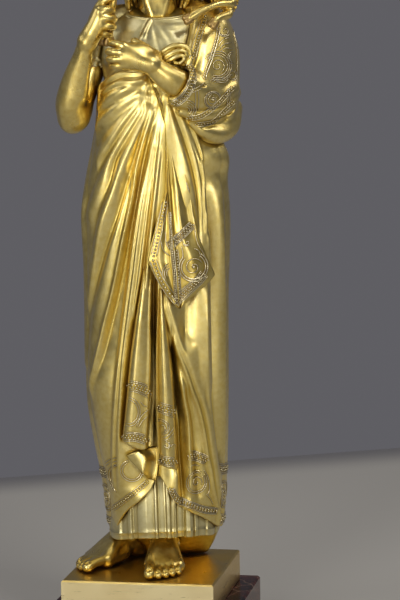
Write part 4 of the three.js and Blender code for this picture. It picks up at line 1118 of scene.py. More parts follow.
def hair():
    """The hair: a smooth mass, opened round the face, with large and small locks on it."""
    form = Form((-18, -34, 282), (33, 28, 366), cell_size(0.42))
    form.egg(HAIR_MIDDLE, CROWN - 2.2, 1)
    form.limb([[HEAD[0], 3, 336, 13], [HEAD[0], 4, 322, 12], [HEAD[0], 4, 308, 10.5],
               [HEAD[0], 4, 296, 8.5]], 4)
    form.egg(face(0, 18, -9), (11.4, 19, 22.5), 1, cut=True)
    form.egg(face(0, 9, 17.4), (4.6, 4.2, 3.6), 1)
    form.egg(face(0, 14, -30), (11, 17, 24), 1, cut=True)
    for side in (-1, 1):
        for i in range(LOCKS):
            share = i / (LOCKS - 1)
            degrees = mix(42, 174, share)
            part = math.radians(mix(50, -62, share ** 0.8))
            end = mix(302, 290, min(1, 1.6 * share)) + 2.6 * math.sin(5.1 * i)
            phase = 0.55 * i + (0.8 if side > 0 else 0) + 0.5 * math.sin(3.3 * i)
            form.limb(lock(side, degrees, part, end, 5.4, phase, 2.3), 0.3, 3)
        for i in range(SMALL_LOCKS):
            part = math.radians(40 - 18 * i)
            form.limb(lock(side, 52 + 22 * i, part, 300 - 2 * i, 6.5, 1.1 * i + side, 1.5), 0.3, 3)
    return form.mesh()


# Lamb
# It lies across the shoulders behind the neck, its head and forelegs on the viewer's right.

LAMB_BACK = [[-22, 9, 307.6, 7.6], [-15, 14, 309.6, 10.8], [-2, 18.6, 310.6, 11.6], [16, 19, 310, 12],
             [31, 14, 307, 11.6], [40, 4, 305, 9]]
LAMB_NECK = [[34, 8, 308, 8.6], [41, 2, 316, 7], [43.6, -3, 323, 6]]
LAMB_THIGHS = [
    [[-19, 8, 308, 6.4], [-19.6, -4, 306.6, 4.8], [-16, -12, 303, 3.4]],
    [[-23, 6, 307, 5.8], [-24, -4, 306, 4.4], [-20.6, -11, 303, 3.3]],
    [[38, 4, 303, 6.4], [42.4, -5, 299.6, 4.8], [43, -10.6, 296.6, 3.4]],
    [[42, 2, 300, 5], [44.2, -7, 295.6, 4], [43.4, -13.4, 291.6, 2.8]],
]
LAMB_SHANKS = [
    [[-16.4, -11, 303, 3.2], [-15.4, -16, 296, 2.4], [-16.4, -18.2, 288, 2.1], [-17, -18.4, 281, 2],
     [-17.2, -18.2, 277.6, 2.2]],
    [[-21, -10, 303, 3.1], [-19.2, -14.6, 295, 2.3], [-19.8, -16.4, 288, 2], [-20.6, -16.6, 281, 2],
     [-20.8, -16.6, 278, 2.1]],
    [[43.2, -9.6, 297, 3.4], [44.4, -14, 294.4, 2.9], [38.8, -17.4, 294.2, 2], [31.6, -19.6, 291.8, 1.8],
     [27, -20.4, 289.6, 2.2], [24, -21, 287.6, 2.1]],
    [[43.6, -12.4, 292, 2.8], [43.4, -16.6, 289, 2.4], [40.2, -19.4, 288, 1.9], [37.8, -21, 286.8, 2.1],
     [36.4, -21.8, 285.4, 2]],
]
LAMB_HOOVES = [[-17.4, -18.2, 275.8], [-21, -16.6, 276.2], [21.6, -21.4, 286.4], [35.2, -22.4, 283.8]]
CURL_GAP = 2.7
CURL_TRIES = 12000
CURL_TURN = 5.2


def lamb_wool():
    """The woolly body, neck and thighs, covered with small curls."""
    form = Form((-42, -22, 280), (58, 38, 338), cell_size(0.5))
    form.limb(LAMB_BACK, 1)
    form.limb(LAMB_NECK, 3)
    for thigh in LAMB_THIGHS:
        form.limb(thigh, 2.5)
    form.egg((43.4, 1.2, 329), (5.4, 4.6, 4), 2)
    form.limb([[-26, 13, 308, 3.2], [-29.4, 15, 306.6, 3.3], [-29.6, 18, 302, 2.4]], 2)
    points, _ = form.mesh()
    slopes = np.stack(np.gradient(form.values), -1)
    origin = np.array([axis[0] for axis in form.axes])
    draw = np.random.default_rng(5)
    chosen = np.empty((0, 3))
    for point in points[draw.permutation(len(points))[:CURL_TRIES]]:
        if len(chosen) and ((chosen - point) ** 2).sum(1).min() < CURL_GAP ** 2:
            continue
        chosen = np.vstack([chosen, point])
    for point in chosen:
        out = slopes[tuple(np.round((point - origin) / form.cell).astype(int))]
        out = out / max(np.linalg.norm(out), 1e-6)
        across = np.cross(out, draw.normal(size=3))
        across /= np.linalg.norm(across)
        other = np.cross(out, across)
        hand = draw.choice((-1, 1))
        stops = []
        for share in np.linspace(0, 1, 7):
            turn, reach = hand * CURL_TURN * share, mix(1.35, 0.25, share)
            place = point + out * mix(-0.1, 0.75, share)
            place = place + reach * (math.cos(turn) * across + math.sin(turn) * other)
            stops.append([*place, mix(0.62, 0.75, share)])
        form.limb(stops, 0.2, 1)
    return form.mesh()


def lamb_limbs():
    """The smooth face, ears, shanks and hooves."""
    form = Form((-26, -30, 262), (60, 8, 336))
    for shank in LAMB_SHANKS:
        form.limb(shank, 0.8)
    form.limb([[43.4, 0, 326.4, 5.4], [44, -7, 326, 5.6], [44.8, -13, 322.8, 4.2],
               [45.4, -17.4, 320, 3.2]], 1)
    form.egg((45.5, -19, 319), (3, 2.6, 2.5), 1)
    form.limb([[43.6, -20.8, 320.2, 0.5], [45.5, -21.8, 319.6, 0.4], [47.2, -20.8, 320.2, 0.5]], 0.4,
              cut=True)
    form.limb([[42.6, -18.4, 317.4, 0.3], [45.5, -21.4, 317.2, 0.35], [48.4, -18.4, 317.4, 0.3]], 0.4,
              cut=True)
    for side in (-1, 1):
        form.egg((44.2 + side * 4.3, -9.6, 326.4), (1.5, 1.7, 1.4), 0.3)
        form.limb([[44.2 + side * 3.4, -10.6, 327.9, 0.6], [44.2 + side * 5.2, -9, 328.2, 0.6]], 0.6)
        form.limb([[43.8 + side * 4, -2, 329.6, 1.9], [43.8 + side * 8, -2.4, 329, 2.5],
                   [43.8 + side * 11, -3.6, 326, 1.7], [43.8 + side * 12, -4.4, 324, 0.9]], 1.4)
        form.limb([[43.8 + side * 6, -4.6, 329.4, 0.9], [43.8 + side * 9, -5, 328, 1.3],
                   [43.8 + side * 11, -5.8, 325.6, 0.7]], 0.8, cut=True)
    return form.mesh()


def lamb_hooves():
    """The cloven hooves at the ends of the shanks."""
    made = []
    for shank, hoof in zip(LAMB_SHANKS, LAMB_HOOVES):
        end, tip = np.array(shank[-1][:3]), np.array(hoof)
        middle = (end + tip) / 2
        form = Form(middle - 7, middle + 7, 0.4)
        along = (tip - end) / np.linalg.norm(tip - end)
        for side in (-1, 1):
            split = np.cross(along, (0, 1, 0)) * side * 1.1
            form.limb([[*(end + split * 0.7), 1.9], [*(end + along * 2.4 + split), 1.75]], 0.3)
        made.append(form.mesh())
    return made


# Sleeve
# The mantle covers the left arm, with a rolled edge round the forearm and a hanging fold under the elbow.

def upper_sleeve(form):
    """The cloth round the upper arm, and over the shoulder and the side of the breast."""
    form.limb([[26, 6, 289, 8], [34, 5, 283, 10], [38.4, 3, 271, 10.8], [38.8, 1, 257, 10.8],
               [38.2, -1, 244, 9.8]], 2)
    form.limb([[28, 0, 287, 6.4], [30, -7, 278, 7], [29.6, -13, 267, 7], [28, -18, 257, 7]], 5)
    form.limb([[36, -3, 281, 8.4], [36.4, -6, 269, 9], [35, -10, 257, 8.6]], 4)
    form.limb([[32, 6, 283, 8.6], [25, 8.4, 276, 8], [16, 7.4, 268, 5]], 7)
    form.limb([[25, -3, 290, 2.6], [27, -10, 284, 3], [24.6, -18.4, 272, 3], [22, -24, 264.6, 3.2],
               [20, -27, 259, 3.4]], 3)


def forearm_opening(form):
    """The opening round the forearm, hollow inside, with a rolled edge."""
    form.limb([[32, -14, 250, 8.6], [26, -20.4, 250.6, 8.8], [19.6, -25.6, 253.4, 9]], 3)
    form.limb([[12.4, -29.6, 258.2, 11], [8, -32, 261, 12]], 0.5, cut=True)
    form.limb([[27, -20.5, 249.5, 5.2], [18, -26.2, 255, 7.3], [8, -32, 261, 7.7]], 0.4, cut=True)
    form.limb(ring_path((18.2, -26.4, 254.8), (-0.77, -0.42, 0.49), 8.9, 1.0), 0.7, 1)


def hanging_folds(form):
    """The three folds that hang one under the other below the forearm."""
    form.limb([[15, -29.4, 246.4, 3], [21, -26.6, 246, 5], [29, -20.4, 246.2, 6.2], [37, -12.6, 247.6, 6.6],
               [43.4, -4, 251, 6]], 1.2)
    form.limb([[19, -26.6, 240.6, 2.4], [27, -22.4, 238.6, 3.8], [35, -15.6, 239.4, 4.8],
               [42, -7.6, 243.2, 5], [46, 0, 248.6, 4.2]], 1)
    form.limb([[24, -21, 234.4, 2.4], [30, -17.6, 230, 4.2], [37, -10.4, 228, 5.4], [43.4, -2, 231.4, 5.6],
               [44.6, 4, 240, 6.4]], 2)
    form.limb([[30, -12, 240, 7], [38, -4, 238, 8.4]], 4)


# Creases cut into the hanging folds and the upper arm: path stops, and fillet.
SLEEVE_CREASES = [
    ([[22, -28.4, 236.2, 0.7], [31, -23.6, 234.4, 0.9], [40, -14.6, 236.6, 0.9], [48, -6, 241.6, 0.7]], 1.4),
    ([[26, -26, 231.6, 0.4], [33, -20, 232.6, 0.7], [42, -11.4, 235.4, 0.7]], 1.2),
    ([[20.4, -31.4, 251.6, 0.4], [26, -29.4, 252.2, 0.5], [31, -27, 253.4, 0.3]], 1.0),
    ([[37.4, -14.8, 281, 0.4], [35.4, -17.8, 273, 0.5], [33.4, -20.4, 266, 0.2]], 0.8),
]


def sleeve():
    """The covered upper arm, the opening round the forearm, and the folds that hang under it."""
    form = Form((2, -46, 216), (60, 24, 304))
    upper_sleeve(form)
    forearm_opening(form)
    hanging_folds(form)
    for stops, fillet in SLEEVE_CREASES:
        form.limb(stops, fillet, cut=True)
    return form.mesh()


def cloth_bunch():
    """The gathered end tucked in over the breast, above the wrist."""
    form = Form((0, -34, 256), (32, -12, 282))
    form.limb([[7.6, -23, 268.2, 1.3], [11.8, -24, 272, 1.5], [17, -24.4, 273.8, 1.5],
               [21.8, -24, 272.8, 1.4], [23.8, -23.8, 270, 1.2], [23, -24.2, 267.4, 1.1]], 1)
    form.limb([[9.6, -24.4, 266.8, 1.2], [13.8, -25.4, 269.8, 1.3], [18.2, -25.8, 271.2, 1.2],
               [21.2, -25.4, 270.4, 1.1], [22, -25, 268.2, 1.0]], 0.5)
    form.limb([[11.8, -25.6, 265.6, 1.2], [15.6, -26.6, 267.8, 1.3], [19.2, -26.8, 268.8, 1.1],
               [20.6, -26.6, 267.2, 1.0], [18.4, -27, 265, 1.0]], 0.5)
    form.limb([[16, -26.4, 265, 1.2], [20.6, -25.4, 264.2, 1.3]], 0.6)
    form.limb([[8, -21.6, 265.4, 2.6], [15, -22.4, 268.6, 3.2], [20.6, -21.8, 267.6, 3]], 1.6)
    return form.mesh()


# Ornament
# Beads and fine raised lines lie on the finished cloth. A design is drawn flat, in millimetres across and up,
# and each point is then found on the cloth, seen from the front or from all round the body.

BALL_SIDES = 7
BEAD = 0.56
BEAD_GAP = 1.6
LINE = 0.3
LINE_SIDES = 6
LINE_STEP = 0.7
SHORTEST_LINE = 4
GIRTH = 34
SLOPE_STEP = 4
LARGEST_JUMP = 1.6
CAST_FROM = 90


class Cloth:
    """The surface of finished pieces, and the ornament laid on it."""

    def __init__(self, *parts):
        points, faces = joined(parts)
        self.tree = BVHTree.FromPolygons(points.tolist(), faces)
        self.laid = []

    def find(self, place):
        """A point and its normal on the cloth, from a flat place seen from the front."""
        return self.cast(Vector((place[0], -CAST_FROM, place[1])), Vector((0, 1, 0)))

    def cast(self, start, direction):
        """The first point met, and its normal towards the start, or nothing."""
        point, normal, _, _ = self.tree.ray_cast(start, direction)
        if point is None:
            return None
        if normal.dot(direction) > 0:
            normal = -normal
        return np.array(point), np.array(normal)

    def line(self, path, radius=LINE):
        """A raised line along a flat path, broken where the cloth falls away."""
        run = []
        for place in evenly(path, LINE_STEP):
            found = self.find(place)
            if run and (found is None or np.linalg.norm(found[0] - run[-1][0]) > LARGEST_JUMP):
                self.tube(run, radius)
                run = []
            if found is not None:
                run.append(found)
        self.tube(run, radius)

    def tube(self, run, radius):
        """A thin bar along a run of (point, normal) pairs, finer at both ends."""
        if len(run) < SHORTEST_LINE:
            return
        middle = np.array([point for point, _ in run])
        normal = np.array([normal for _, normal in run])
        soften(middle, 2)
        soften(normal, 2)
        along = np.gradient(middle, axis=0)
        across = np.cross(along, normal)
        across /= lengths(across)
        up = np.cross(across, along)
        up /= lengths(up)
        turns = (np.arange(LINE_SIDES) * 2 * np.pi / LINE_SIDES)[:, None]
        from_end = np.minimum(np.arange(len(run)), np.arange(len(run))[::-1])
        size = radius * np.minimum(1, 0.35 + 0.35 * from_end)[:, None, None]
        round_line = np.cos(turns) * across[:, None] + (0.3 - np.sin(turns)) * up[:, None]
        self.laid.append(closed_loft(middle[:, None] + size * round_line))

    def bead(self, place, radius=BEAD):
        """A bead standing on the cloth at a flat place."""
        found = self.find(place)
        if found is None:
            return
        ball, faces = BALL
        middle, up = found
        axes = np.array([*square_to(up), up])
        self.laid.append((middle + radius * (ball + (0, 0, 0.2)) @ axes, faces))

    def beads(self, path, radius=BEAD, gap=BEAD_GAP, start=0.0):
        """A row of beads, its first one a share of a gap along the path."""
        for place in evenly(path, gap / 2)[int(start * 2)::2]:
            self.bead(place, radius)

    def band(self, path, width=5.6, side=1, bead=BEAD):
        """Two staggered rows of beads between pairs of lines, to one side of a path."""
        for share in (0, 0.17, 0.83, 1):
            self.line(shifted(path, side * share * width))
        self.beads(shifted(path, side * 0.38 * width), bead)
        self.beads(shifted(path, side * 0.62 * width), bead, start=0.5)

    def strip(self, path, width=3.0, side=1, bead=BEAD):
        """A single row of beads between two lines."""
        self.line(shifted(path, 0))
        self.line(shifted(path, side * width))
        self.beads(shifted(path, side * width / 2), bead, 2.6 * bead)

    def stroke(self, *points, radius=LINE):
        """A raised line along a smooth path through flat points."""
        self.line(smooth_path(points), radius)

    def arc(self, middle, radius, start, end, ending=None, squeeze=1.0, line=LINE):
        """An arc or spiral round a middle, in degrees."""
        share = np.linspace(0, 1, max(6, int(abs(end - start) / 12)))
        turn = np.radians(mix(start, end, share))
        reach = mix(radius, radius if ending is None else ending, share)
        x, y = middle[0] + squeeze * reach * np.cos(turn), middle[1] + reach * np.sin(turn)
        self.line(np.stack([x, y], -1), line)

    def arcs(self, middle, radii, start, end, **settings):
        """Arcs of several radii round one middle."""
        for radius in radii:
            self.arc(middle, radius, start, end, **settings)

    def medallion(self, middle, radius, spin=0):
        """Two rings round a scroll, with a bead at its eye and a spray of leaves."""
        self.arc(middle, radius, spin - 20, spin + 300)
        self.arc(middle, radius * 0.84, spin - 40, spin + 290)
        self.arc(middle, radius * 0.66, spin + 60, spin + 620, radius * 0.1)
        self.bead(middle, 0.7)
        for turn in (-20, 30, 80):
            leaf = math.radians(spin + turn)
            root = middle + 0.2 * radius * toward(leaf)
            tip = middle + 0.58 * radius * toward(leaf + 0.5)
            self.line(np.array([root, mix(root, tip, 0.5) + (0.3, 0.3), tip]))

    def scroll(self, middle, radius, spin=0, hand=1):
        """A running scroll with two leaves."""
        self.arc(middle, radius, spin, spin + hand * 430, radius * 0.16)
        self.arc(middle, radius * 1.22, spin, spin + hand * 150, radius * 1.02)
        out = radius * toward(math.radians(spin))
        start, away = middle + out, hand * radius * toward(math.radians(spin - 90))
        self.line(smooth_path([start, start + 0.55 * away, start + away + 0.45 * out], 6))
        self.line(smooth_path([start, start + 0.5 * away - 0.1 * out, start + 0.9 * away - 0.4 * out], 6))

    def piece(self):
        """All the ornament laid so far, as one part."""
        return joined(self.laid)


class RoundCloth(Cloth):
    """Cloth whose flat places run round the body, from the middle of the front, and up from a hem line."""

    def __init__(self, hem, *parts):
        super().__init__(*parts)
        self.hem = hem

    def find(self, place):
        turn = place[0] / GIRTH
        near, far = (self.hem((math.degrees(turn) + step + 180) % 360 - 180) for step in (0, SLOPE_STEP))
        slope = (far - near) / (GIRTH * math.radians(SLOPE_STEP))
        height = near + place[1] * math.sqrt(1 + 0.6 * slope ** 2)
        x, y, _, _ = body_section(height)
        out = Vector((math.sin(turn), -math.cos(turn), 0))
        return self.cast(Vector((x, y, height)) + out * CAST_FROM, -out)


def toward(turn):
    """The flat direction at a turn, anticlockwise from the right."""
    return np.array([math.cos(turn), math.sin(turn)])


def shifted(path, step):
    """A flat path moved to its left."""
    path = np.asarray(path, float)
    if step == 0:
        return path
    along = np.gradient(path, axis=0)
    along /= lengths(along)
    return path + step * np.stack([-along[:, 1], along[:, 0]], -1)


def make_ball():
    """A bead with its crown up, as (points, faces)."""
    turns = np.arange(BALL_SIDES) * 2 * np.pi / BALL_SIDES
    levels = [(-0.5, 0.75), (0.15, 1.0), (0.72, 0.66)]
    rings = [np.stack([size * np.cos(turns), size * np.sin(turns), 0 * turns + up], -1)
             for up, size in levels]
    points, faces = closed_loft(rings)
    points[-1] = (0, 0, 1)
    return points, faces


BALL = make_ball()
# Where the hem's border runs round the body, and the upper edge's, in degrees from the front.
HEM_TURNS = (71, 284)
TOP_TURNS = (112, 262)
HEM_MEDALLIONS = 6
HEM_MARGIN = 8


def level_path(start, end, height, count):
    """A flat path at one height above a hem line, from start to end across."""
    return np.stack([np.linspace(start, end, count), np.full(count, height)], -1)


def hem_border(mantle_part):
    """Two bands of beads round the mantle's hem, with medallions and scrolls between them."""
    cloth = RoundCloth(MANTLE_HEM, mantle_part)
    start, end = (math.radians(turn) * GIRTH for turn in HEM_TURNS)
    cloth.band(level_path(start, end, 1.6, 300), 5.2)
    cloth.band(level_path(start, end, 28.4, 300), 5.6)
    gap = (end - start - 2 * HEM_MARGIN) / (HEM_MEDALLIONS - 1)
    for i in range(HEM_MEDALLIONS):
        place = start + HEM_MARGIN + gap * i
        cloth.medallion((place, 17.4), 7.4, 200 if i % 2 else 20)
        if i < HEM_MEDALLIONS - 1:
            cloth.scroll((place + gap / 2, 21.6), 3.0, 270, 1)
            cloth.scroll((place + gap / 2, 13.0), 3.0, 90, 1)
    return cloth.piece()


def top_border(mantle_part):
    """A band of beads along the mantle's upper edge, across the back."""
    cloth = RoundCloth(MANTLE_TOP, mantle_part)
    start, end = (math.radians(turn) * GIRTH for turn in TOP_TURNS)
    cloth.band(level_path(start, end, -7.4, 200), 5.4)
    return cloth.piece()


def front_border(mantle_part):
    """The border where it shows in front, either side of the opening."""
    cloth = Cloth(mantle_part)
    row = smooth_path([[-1.8, 48.4], [-6, 44.8], [-11.2, 40.6], [-15.6, 36.6], [-20.4, 31.6]])
    cloth.strip(shifted(row, -1.1), 2.2)
    cloth.arcs((-9.8, 54.4), (6.0, 4.9), 105, 350)
    cloth.stroke([-24.6, 55.6], [-21, 59.4], [-17.4, 61.2])
    cloth.stroke([-24.4, 53.8], [-21, 57.6], [-17.4, 59.4])
    for step in (0, 1.2):
        cloth.stroke([-18 + step, 57.6], [-21.4 + step, 54.6], [-22.6 + step, 50.4], [-21.8 + step, 46],
                     [-19.4 + step, 41.6])
    cloth.band(smooth_path([[19, 60.4], [24, 58.6], [28.6, 56.4]]), 4.8)
    cloth.arcs((23.7, 47.4), (6.2, 5.1), 60, 400, squeeze=0.86)
    cloth.arc((23.7, 47.4), 3.6, -30, 420, 0.6, squeeze=0.86)
    cloth.stroke([19.6, 55.8], [22, 57], [25.4, 55.8])
    cloth.stroke([27.6, 53.6], [29.8, 49.4], [30.6, 43.6], [29.4, 39.6])
    cloth.stroke([28.4, 40.8], [30.8, 37.6], [32.4, 33.8])
    hem = smooth_path([[8.6, 45], [10, 41.2], [12.2, 38], [14.9, 36], [19, 34.4], [25.2, 31.2],
                       [30.4, 29.2], [34.4, 28]])
    cloth.band(hem, 3.6)
    return cloth.piece()


def pleat_ornament(pleats):
    """Bands of beads round both hanging pleats, with scrolls between them."""
    cloth = Cloth(*pleats)
    cloth.band(smooth_path([[-15.6, 71.2], [-8.5, 71.6], [-1.4, 68.8]]), 4.8)
    cloth.band(smooth_path([[-13, 98.4], [-6, 97.2], [0.8, 93]]), 5.4)
    cloth.arcs((-10.8, 87.2), (7.6, 6.3), -115, 110, squeeze=0.78)
    cloth.stroke([-7, 79], [-4.6, 84.4], [-0.2, 88.4])
    cloth.stroke([-6.2, 78.6], [-3.6, 82.4], [0, 85.2])
    cloth.stroke([-4.6, 92.4], [-2.8, 90], [0.4, 89.4])
    cloth.band(smooth_path([[4, 59.2], [9.5, 58.4], [15.2, 56.8]]), 4.8)
    cloth.band(smooth_path([[3.4, 86.8], [8.5, 85.4], [13.8, 82.8]]), 5.4)
    cloth.arc((6.0, 78.6), 4.8, 150, -95, 3.4)
    cloth.arc((6.0, 78.6), 3.8, 150, -90, 2.6)
    cloth.arc((6.0, 78.6), 2.4, -60, 200, 0.8)
    cloth.stroke([6, 73], [8.8, 74.4], [12, 78], [14, 79.6])
    cloth.stroke([6.4, 72], [9.4, 72.8], [12, 75.6], [14.2, 76.8])
    cloth.scroll((8.2, 69.4), 1.8, 60, -1)
    cloth.arc((11.8, 68.6), 1.3, -60, 200)
    return cloth.piece()


def flap_ornament(flap_part):
    """Beaded borders round the hanging end, a rope of beads on its ridge, and a medallion."""
    cloth = Cloth(flap_part)
    cloth.strip(smooth_path([[13.6, 143], [8.9, 149], [4.4, 157], [1.6, 165]]), 3.2, -1, 0.72)
    cloth.strip(smooth_path([[2.0, 168], [4, 176], [6.2, 185.6], [8.6, 195]]), 2.8, -1, 0.66)
    cloth.band(smooth_path([[15.3, 142], [21.2, 147.4], [27.4, 152.6], [31, 156.6]]), 4.6, 1, 0.64)
    cloth.band(smooth_path([[12.8, 171], [18.5, 176], [25, 181.6]]), 4, 1, 0.64)
    rope = smooth_path([[14.6, 146], [14, 160], [13, 172], [12.4, 190]])
    cloth.line(shifted(rope, 0.9))
    cloth.beads(rope, 0.72, 1.15)
    cloth.strip(smooth_path([[17, 148.6], [16.6, 160], [15.8, 171]]), 1.9, 1)
    cloth.arcs((23.6, 161.6), (7.4, 6.2), 130, 420, line=0.4)
    cloth.arc((23.6, 161.6), 4.8, 20, 560, 0.8)
    cloth.bead((23.6, 161.6), 0.9)
    cloth.arcs((12.4, 158.6), (5.4, 4.2, 3.0), 105, 235, squeeze=0.9)
    cloth.stroke([11.8, 167.4], [8.4, 170.4], [7.2, 175.4])
    cloth.stroke([11.8, 170.4], [9.8, 174.4], [9.6, 180.4])
    cloth.stroke([24, 171], [26.4, 169.6], [27.4, 166.4])
    cloth.stroke([17.6, 172.4], [18.4, 168], [17.4, 165.2])
    cloth.scroll((20.4, 174.2), 1.7, 180, 1)
    cloth.stroke([30.6, 162.8], [28.8, 168], [25.6, 174], [24.6, 181])
    for step in (0, 1):
        cloth.stroke([22.4 - step, 199], [19.6 - step, 208], [16.1 - step, 219], [13.2 - step, 229.6],
                     [11 - step, 240], [7.6 - step, 250], radius=0.36)
    return cloth.piece()


def sleeve_ornament(sleeve_part):
    """The sleeve's beaded borders, cuff, medallions and sprays."""
    cloth = Cloth(sleeve_part)
    front = smooth_path([[32, 288], [28.9, 280.1], [26.5, 273.1], [24.6, 266.4]])
    cloth.strip(shifted(front, -1.5), 3.0)
    cuff = smooth_path([[20.6, 263.4], [22.6, 259], [21.4, 253.4], [17.6, 248.4], [13.4, 246.2]])
    cloth.band(cuff, 3.8, 1)
    edge = smooth_path([[39.4, 283], [38.4, 277.6], [36.6, 271.6], [34.4, 265.4], [31.9, 259.4],
                        [31.2, 256.4]])
    cloth.line(edge, 0.5)
    cloth.line(shifted(edge, -1.2))
    cloth.arcs((37.6, 263), (7.4, 6.3, 5.2), -120, 150)
    cloth.arc((37.6, 263), 3.9, -60, 460, 0.7)
    for step in (0, 1.1, 2.2):
        cloth.stroke([33.4 + step, 255.6 - step / 2], [37, 257.2 - step], [41, 256.6 - step],
                     [43.6, 258.8 - step])
    cloth.stroke([37.6, 271.6], [40.2, 275.6], [44.6, 277.4])
    cloth.stroke([38.6, 271], [41.2, 273.8], [45.4, 274.4])
    cloth.stroke([39.4, 270.2], [42, 271.8], [45.8, 271.2])
    cloth.scroll((41.8, 280.4), 2.6, 200, 1)
    cloth.arcs((45.2, 266.8), (3.2, 2.2), 60, 300, squeeze=0.7)
    cloth.scroll((45, 257.4), 2.6, 60, -1)
    cloth.stroke([46.4, 281], [48, 272], [48.2, 262], [47.6, 254])
    cloth.medallion((34.8, 246), 4.4, 30)
    for x in (25.4, 27.0, 42, 43.2):
        cloth.line(np.array([[x, 240.8], [x + 0.6, 246], [x + 0.4, 251.6]]))
    cloth.arcs((21.4, 241.6), (4.8, 3.7, 2.6, 1.5), -70, 90)
    cloth.stroke([23, 250], [27.4, 251.4], [31.8, 254])
    cloth.stroke([23.4, 251.6], [27, 252.8], [30.8, 255.2])
    lower = smooth_path([[26, 232.4], [34.5, 233.4], [40.7, 238.2], [47, 244]])
    cloth.strip(lower, 2.2)
    upper = smooth_path([[21.6, 236], [27.4, 236.4], [32.4, 238.6], [37, 242], [43, 247.6], [46.4, 251]])
    cloth.strip(upper, 2.2)
    return cloth.piece()


# Materials
# Each metal is coloured by how deep a place lies: a painted highlight, partly rubbed gilding, on the crests,
# and painted shade, with some patina, in the recesses.

class Shading:
    """Nodes of one material, added by name."""

    def __init__(self, name):
        self.material = bpy.data.materials.new(name)
        self.material.use_nodes = True
        self.tree = self.material.node_tree
        self.shader = self.tree.nodes["Principled BSDF"]

    def finish(self, name, value):
        """Gives an input of the shader a plain value, or joins a socket to it."""
        if isinstance(value, bpy.types.NodeSocket):
            self.join(value, self.shader.inputs[name])
        else:
            self.shader.inputs[name].default_value = value

    def node(self, kind, **settings):
        """A new node, with settings by name."""
        made = self.tree.nodes.new("ShaderNode" + kind)
        for name, value in settings.items():
            setattr(made, name, value)
        return made

    def join(self, source, target):
        self.tree.links.new(source, target)

    def place(self, kind="Object"):
        return self.node("TexCoord").outputs[kind]

    def noise(self, scale, detail=3.0, stretch=(1, 1, 1), rough=0.5):
        """Noise in the object's own space, its scale in waves per metre."""
        mapping = self.node("Mapping")
        mapping.inputs["Scale"].default_value = stretch
        texture = self.node("TexNoise")
        for name, number in (("Scale", scale), ("Detail", detail), ("Roughness", rough)):
            texture.inputs[name].default_value = number
        self.join(self.place(), mapping.inputs["Vector"])
        self.join(mapping.outputs["Vector"], texture.inputs["Vector"])
        return texture.outputs["Fac"]

    def spread(self, value, low, high, start=0.0, end=1.0):
        """Maps the range low to high onto start to end."""
        made = self.node("MapRange", interpolation_type="SMOOTHSTEP")
        self.join(value, made.inputs["Value"])
        for name, number in zip(("From Min", "From Max", "To Min", "To Max"), (low, high, start, end)):
            made.inputs[name].default_value = number
        return made.outputs["Result"]

    def depth(self, reach, samples=8):
        """How open a place is: 0 in a recess narrower than the reach, 1 in the open."""
        made = self.node("AmbientOcclusion", samples=samples)
        made.inputs["Distance"].default_value = reach
        return made.outputs["AO"]

    def sum(self, a, b, share=1.0):
        """The first value, with a share of the second added."""
        scaled = self.node("Math", operation="MULTIPLY_ADD")
        self.join(b, scaled.inputs[0])
        scaled.inputs[1].default_value = share
        self.join(a, scaled.inputs[2])
        return scaled.outputs["Value"]

    def blend(self, share, first, second):
        """Colour between two, each a colour or a socket."""
        made = self.node("Mix", data_type="RGBA")
        self.join(share, made.inputs["Factor"])
        for name, color in (("A", first), ("B", second)):
            socket = next(s for s in made.inputs if s.name == name and s.type == "RGBA")
            if isinstance(color, tuple):
                socket.default_value = (*color, 1)
            else:
                self.join(color, socket)
        return next(s for s in made.outputs if s.type == "RGBA")

    def relief(self, height, distance):
        """Fine unevenness of the surface, its distance in metres."""
        uneven = self.node("Bump")
        uneven.inputs["Strength"].default_value = 1
        uneven.inputs["Distance"].default_value = distance
        self.join(height, uneven.inputs["Height"])
        self.finish("Normal", uneven.outputs["Normal"])


NARROW_RECESS = 0.0022
WIDE_RECESS = 0.012
COAT_WEIGHT = 0.7
COAT_ROUGHNESS = 0.2
CASTING_RELIEF = 0.000035
POLISH_RELIEF = 0.00002


def gilding(name, crest, body, recess, roughness):
    """Gilt bronze: crest colour as painted highlight, partly rubbed gilding; body colour; recess colour as
    painted shade, with some patina; and the roughness of the open metal.
    """
    shading = Shading(name)
    cloudy = shading.noise(55, 4)
    # Painted shade, with some patina: the recess colour in narrow recesses, and a darker body colour in wide
    # ones.
    near = shading.depth(NARROW_RECESS)
    far = shading.depth(WIDE_RECESS)
    open_near = shading.spread(near, 0.22, 0.88)
    open_far = shading.spread(shading.sum(far, cloudy, 0.3), 0.35, 1.05)
    # Painted highlight, partly rubbed gilding: the crest colour on the most open places.
    wear_and_highlight = shading.spread(shading.sum(near, shading.noise(400, 3), 0.12), 0.98, 1.1)
    metal = shading.blend(open_far, mix_color(recess, body, 0.66), body)
    metal = shading.blend(open_near, recess, metal)
    metal = shading.blend(wear_and_highlight, metal, crest)
    shading.finish("Base Color", metal)
    rough = shading.spread(shading.noise(130, 5), 0.3, 0.7, roughness - 0.04, roughness + 0.08)
    rough = shading.sum(rough, shading.spread(near, 0.3, 0.9, 0.18, 0.0))
    shading.finish("Roughness", rough)
    shading.finish("Metallic", 1)
    shading.finish("Coat Weight", COAT_WEIGHT)
    shading.finish("Coat Roughness", COAT_ROUGHNESS)
    shading.relief(shading.sum(shading.noise(420, 3), shading.noise(2400, 2), 0.4), CASTING_RELIEF)
    return shading.material


def mix_color(a, b, share):
    return tuple(mix(x, y, share) for x, y in zip(a, b))


PLINTH_PALE = (0.84, 0.71, 0.40)
PLINTH_DULL = (0.76, 0.61, 0.31)
# The right side's colour is painted shade, the top's a painted dark reflection, and the recess colour painted
# shade.
PLINTH_RIGHT_SHADE = (0.72, 0.50, 0.16)
PLINTH_TOP_REFLECTION = (0.72, 0.50, 0.11)
PLINTH_RECESS = (0.36, 0.21, 0.06)


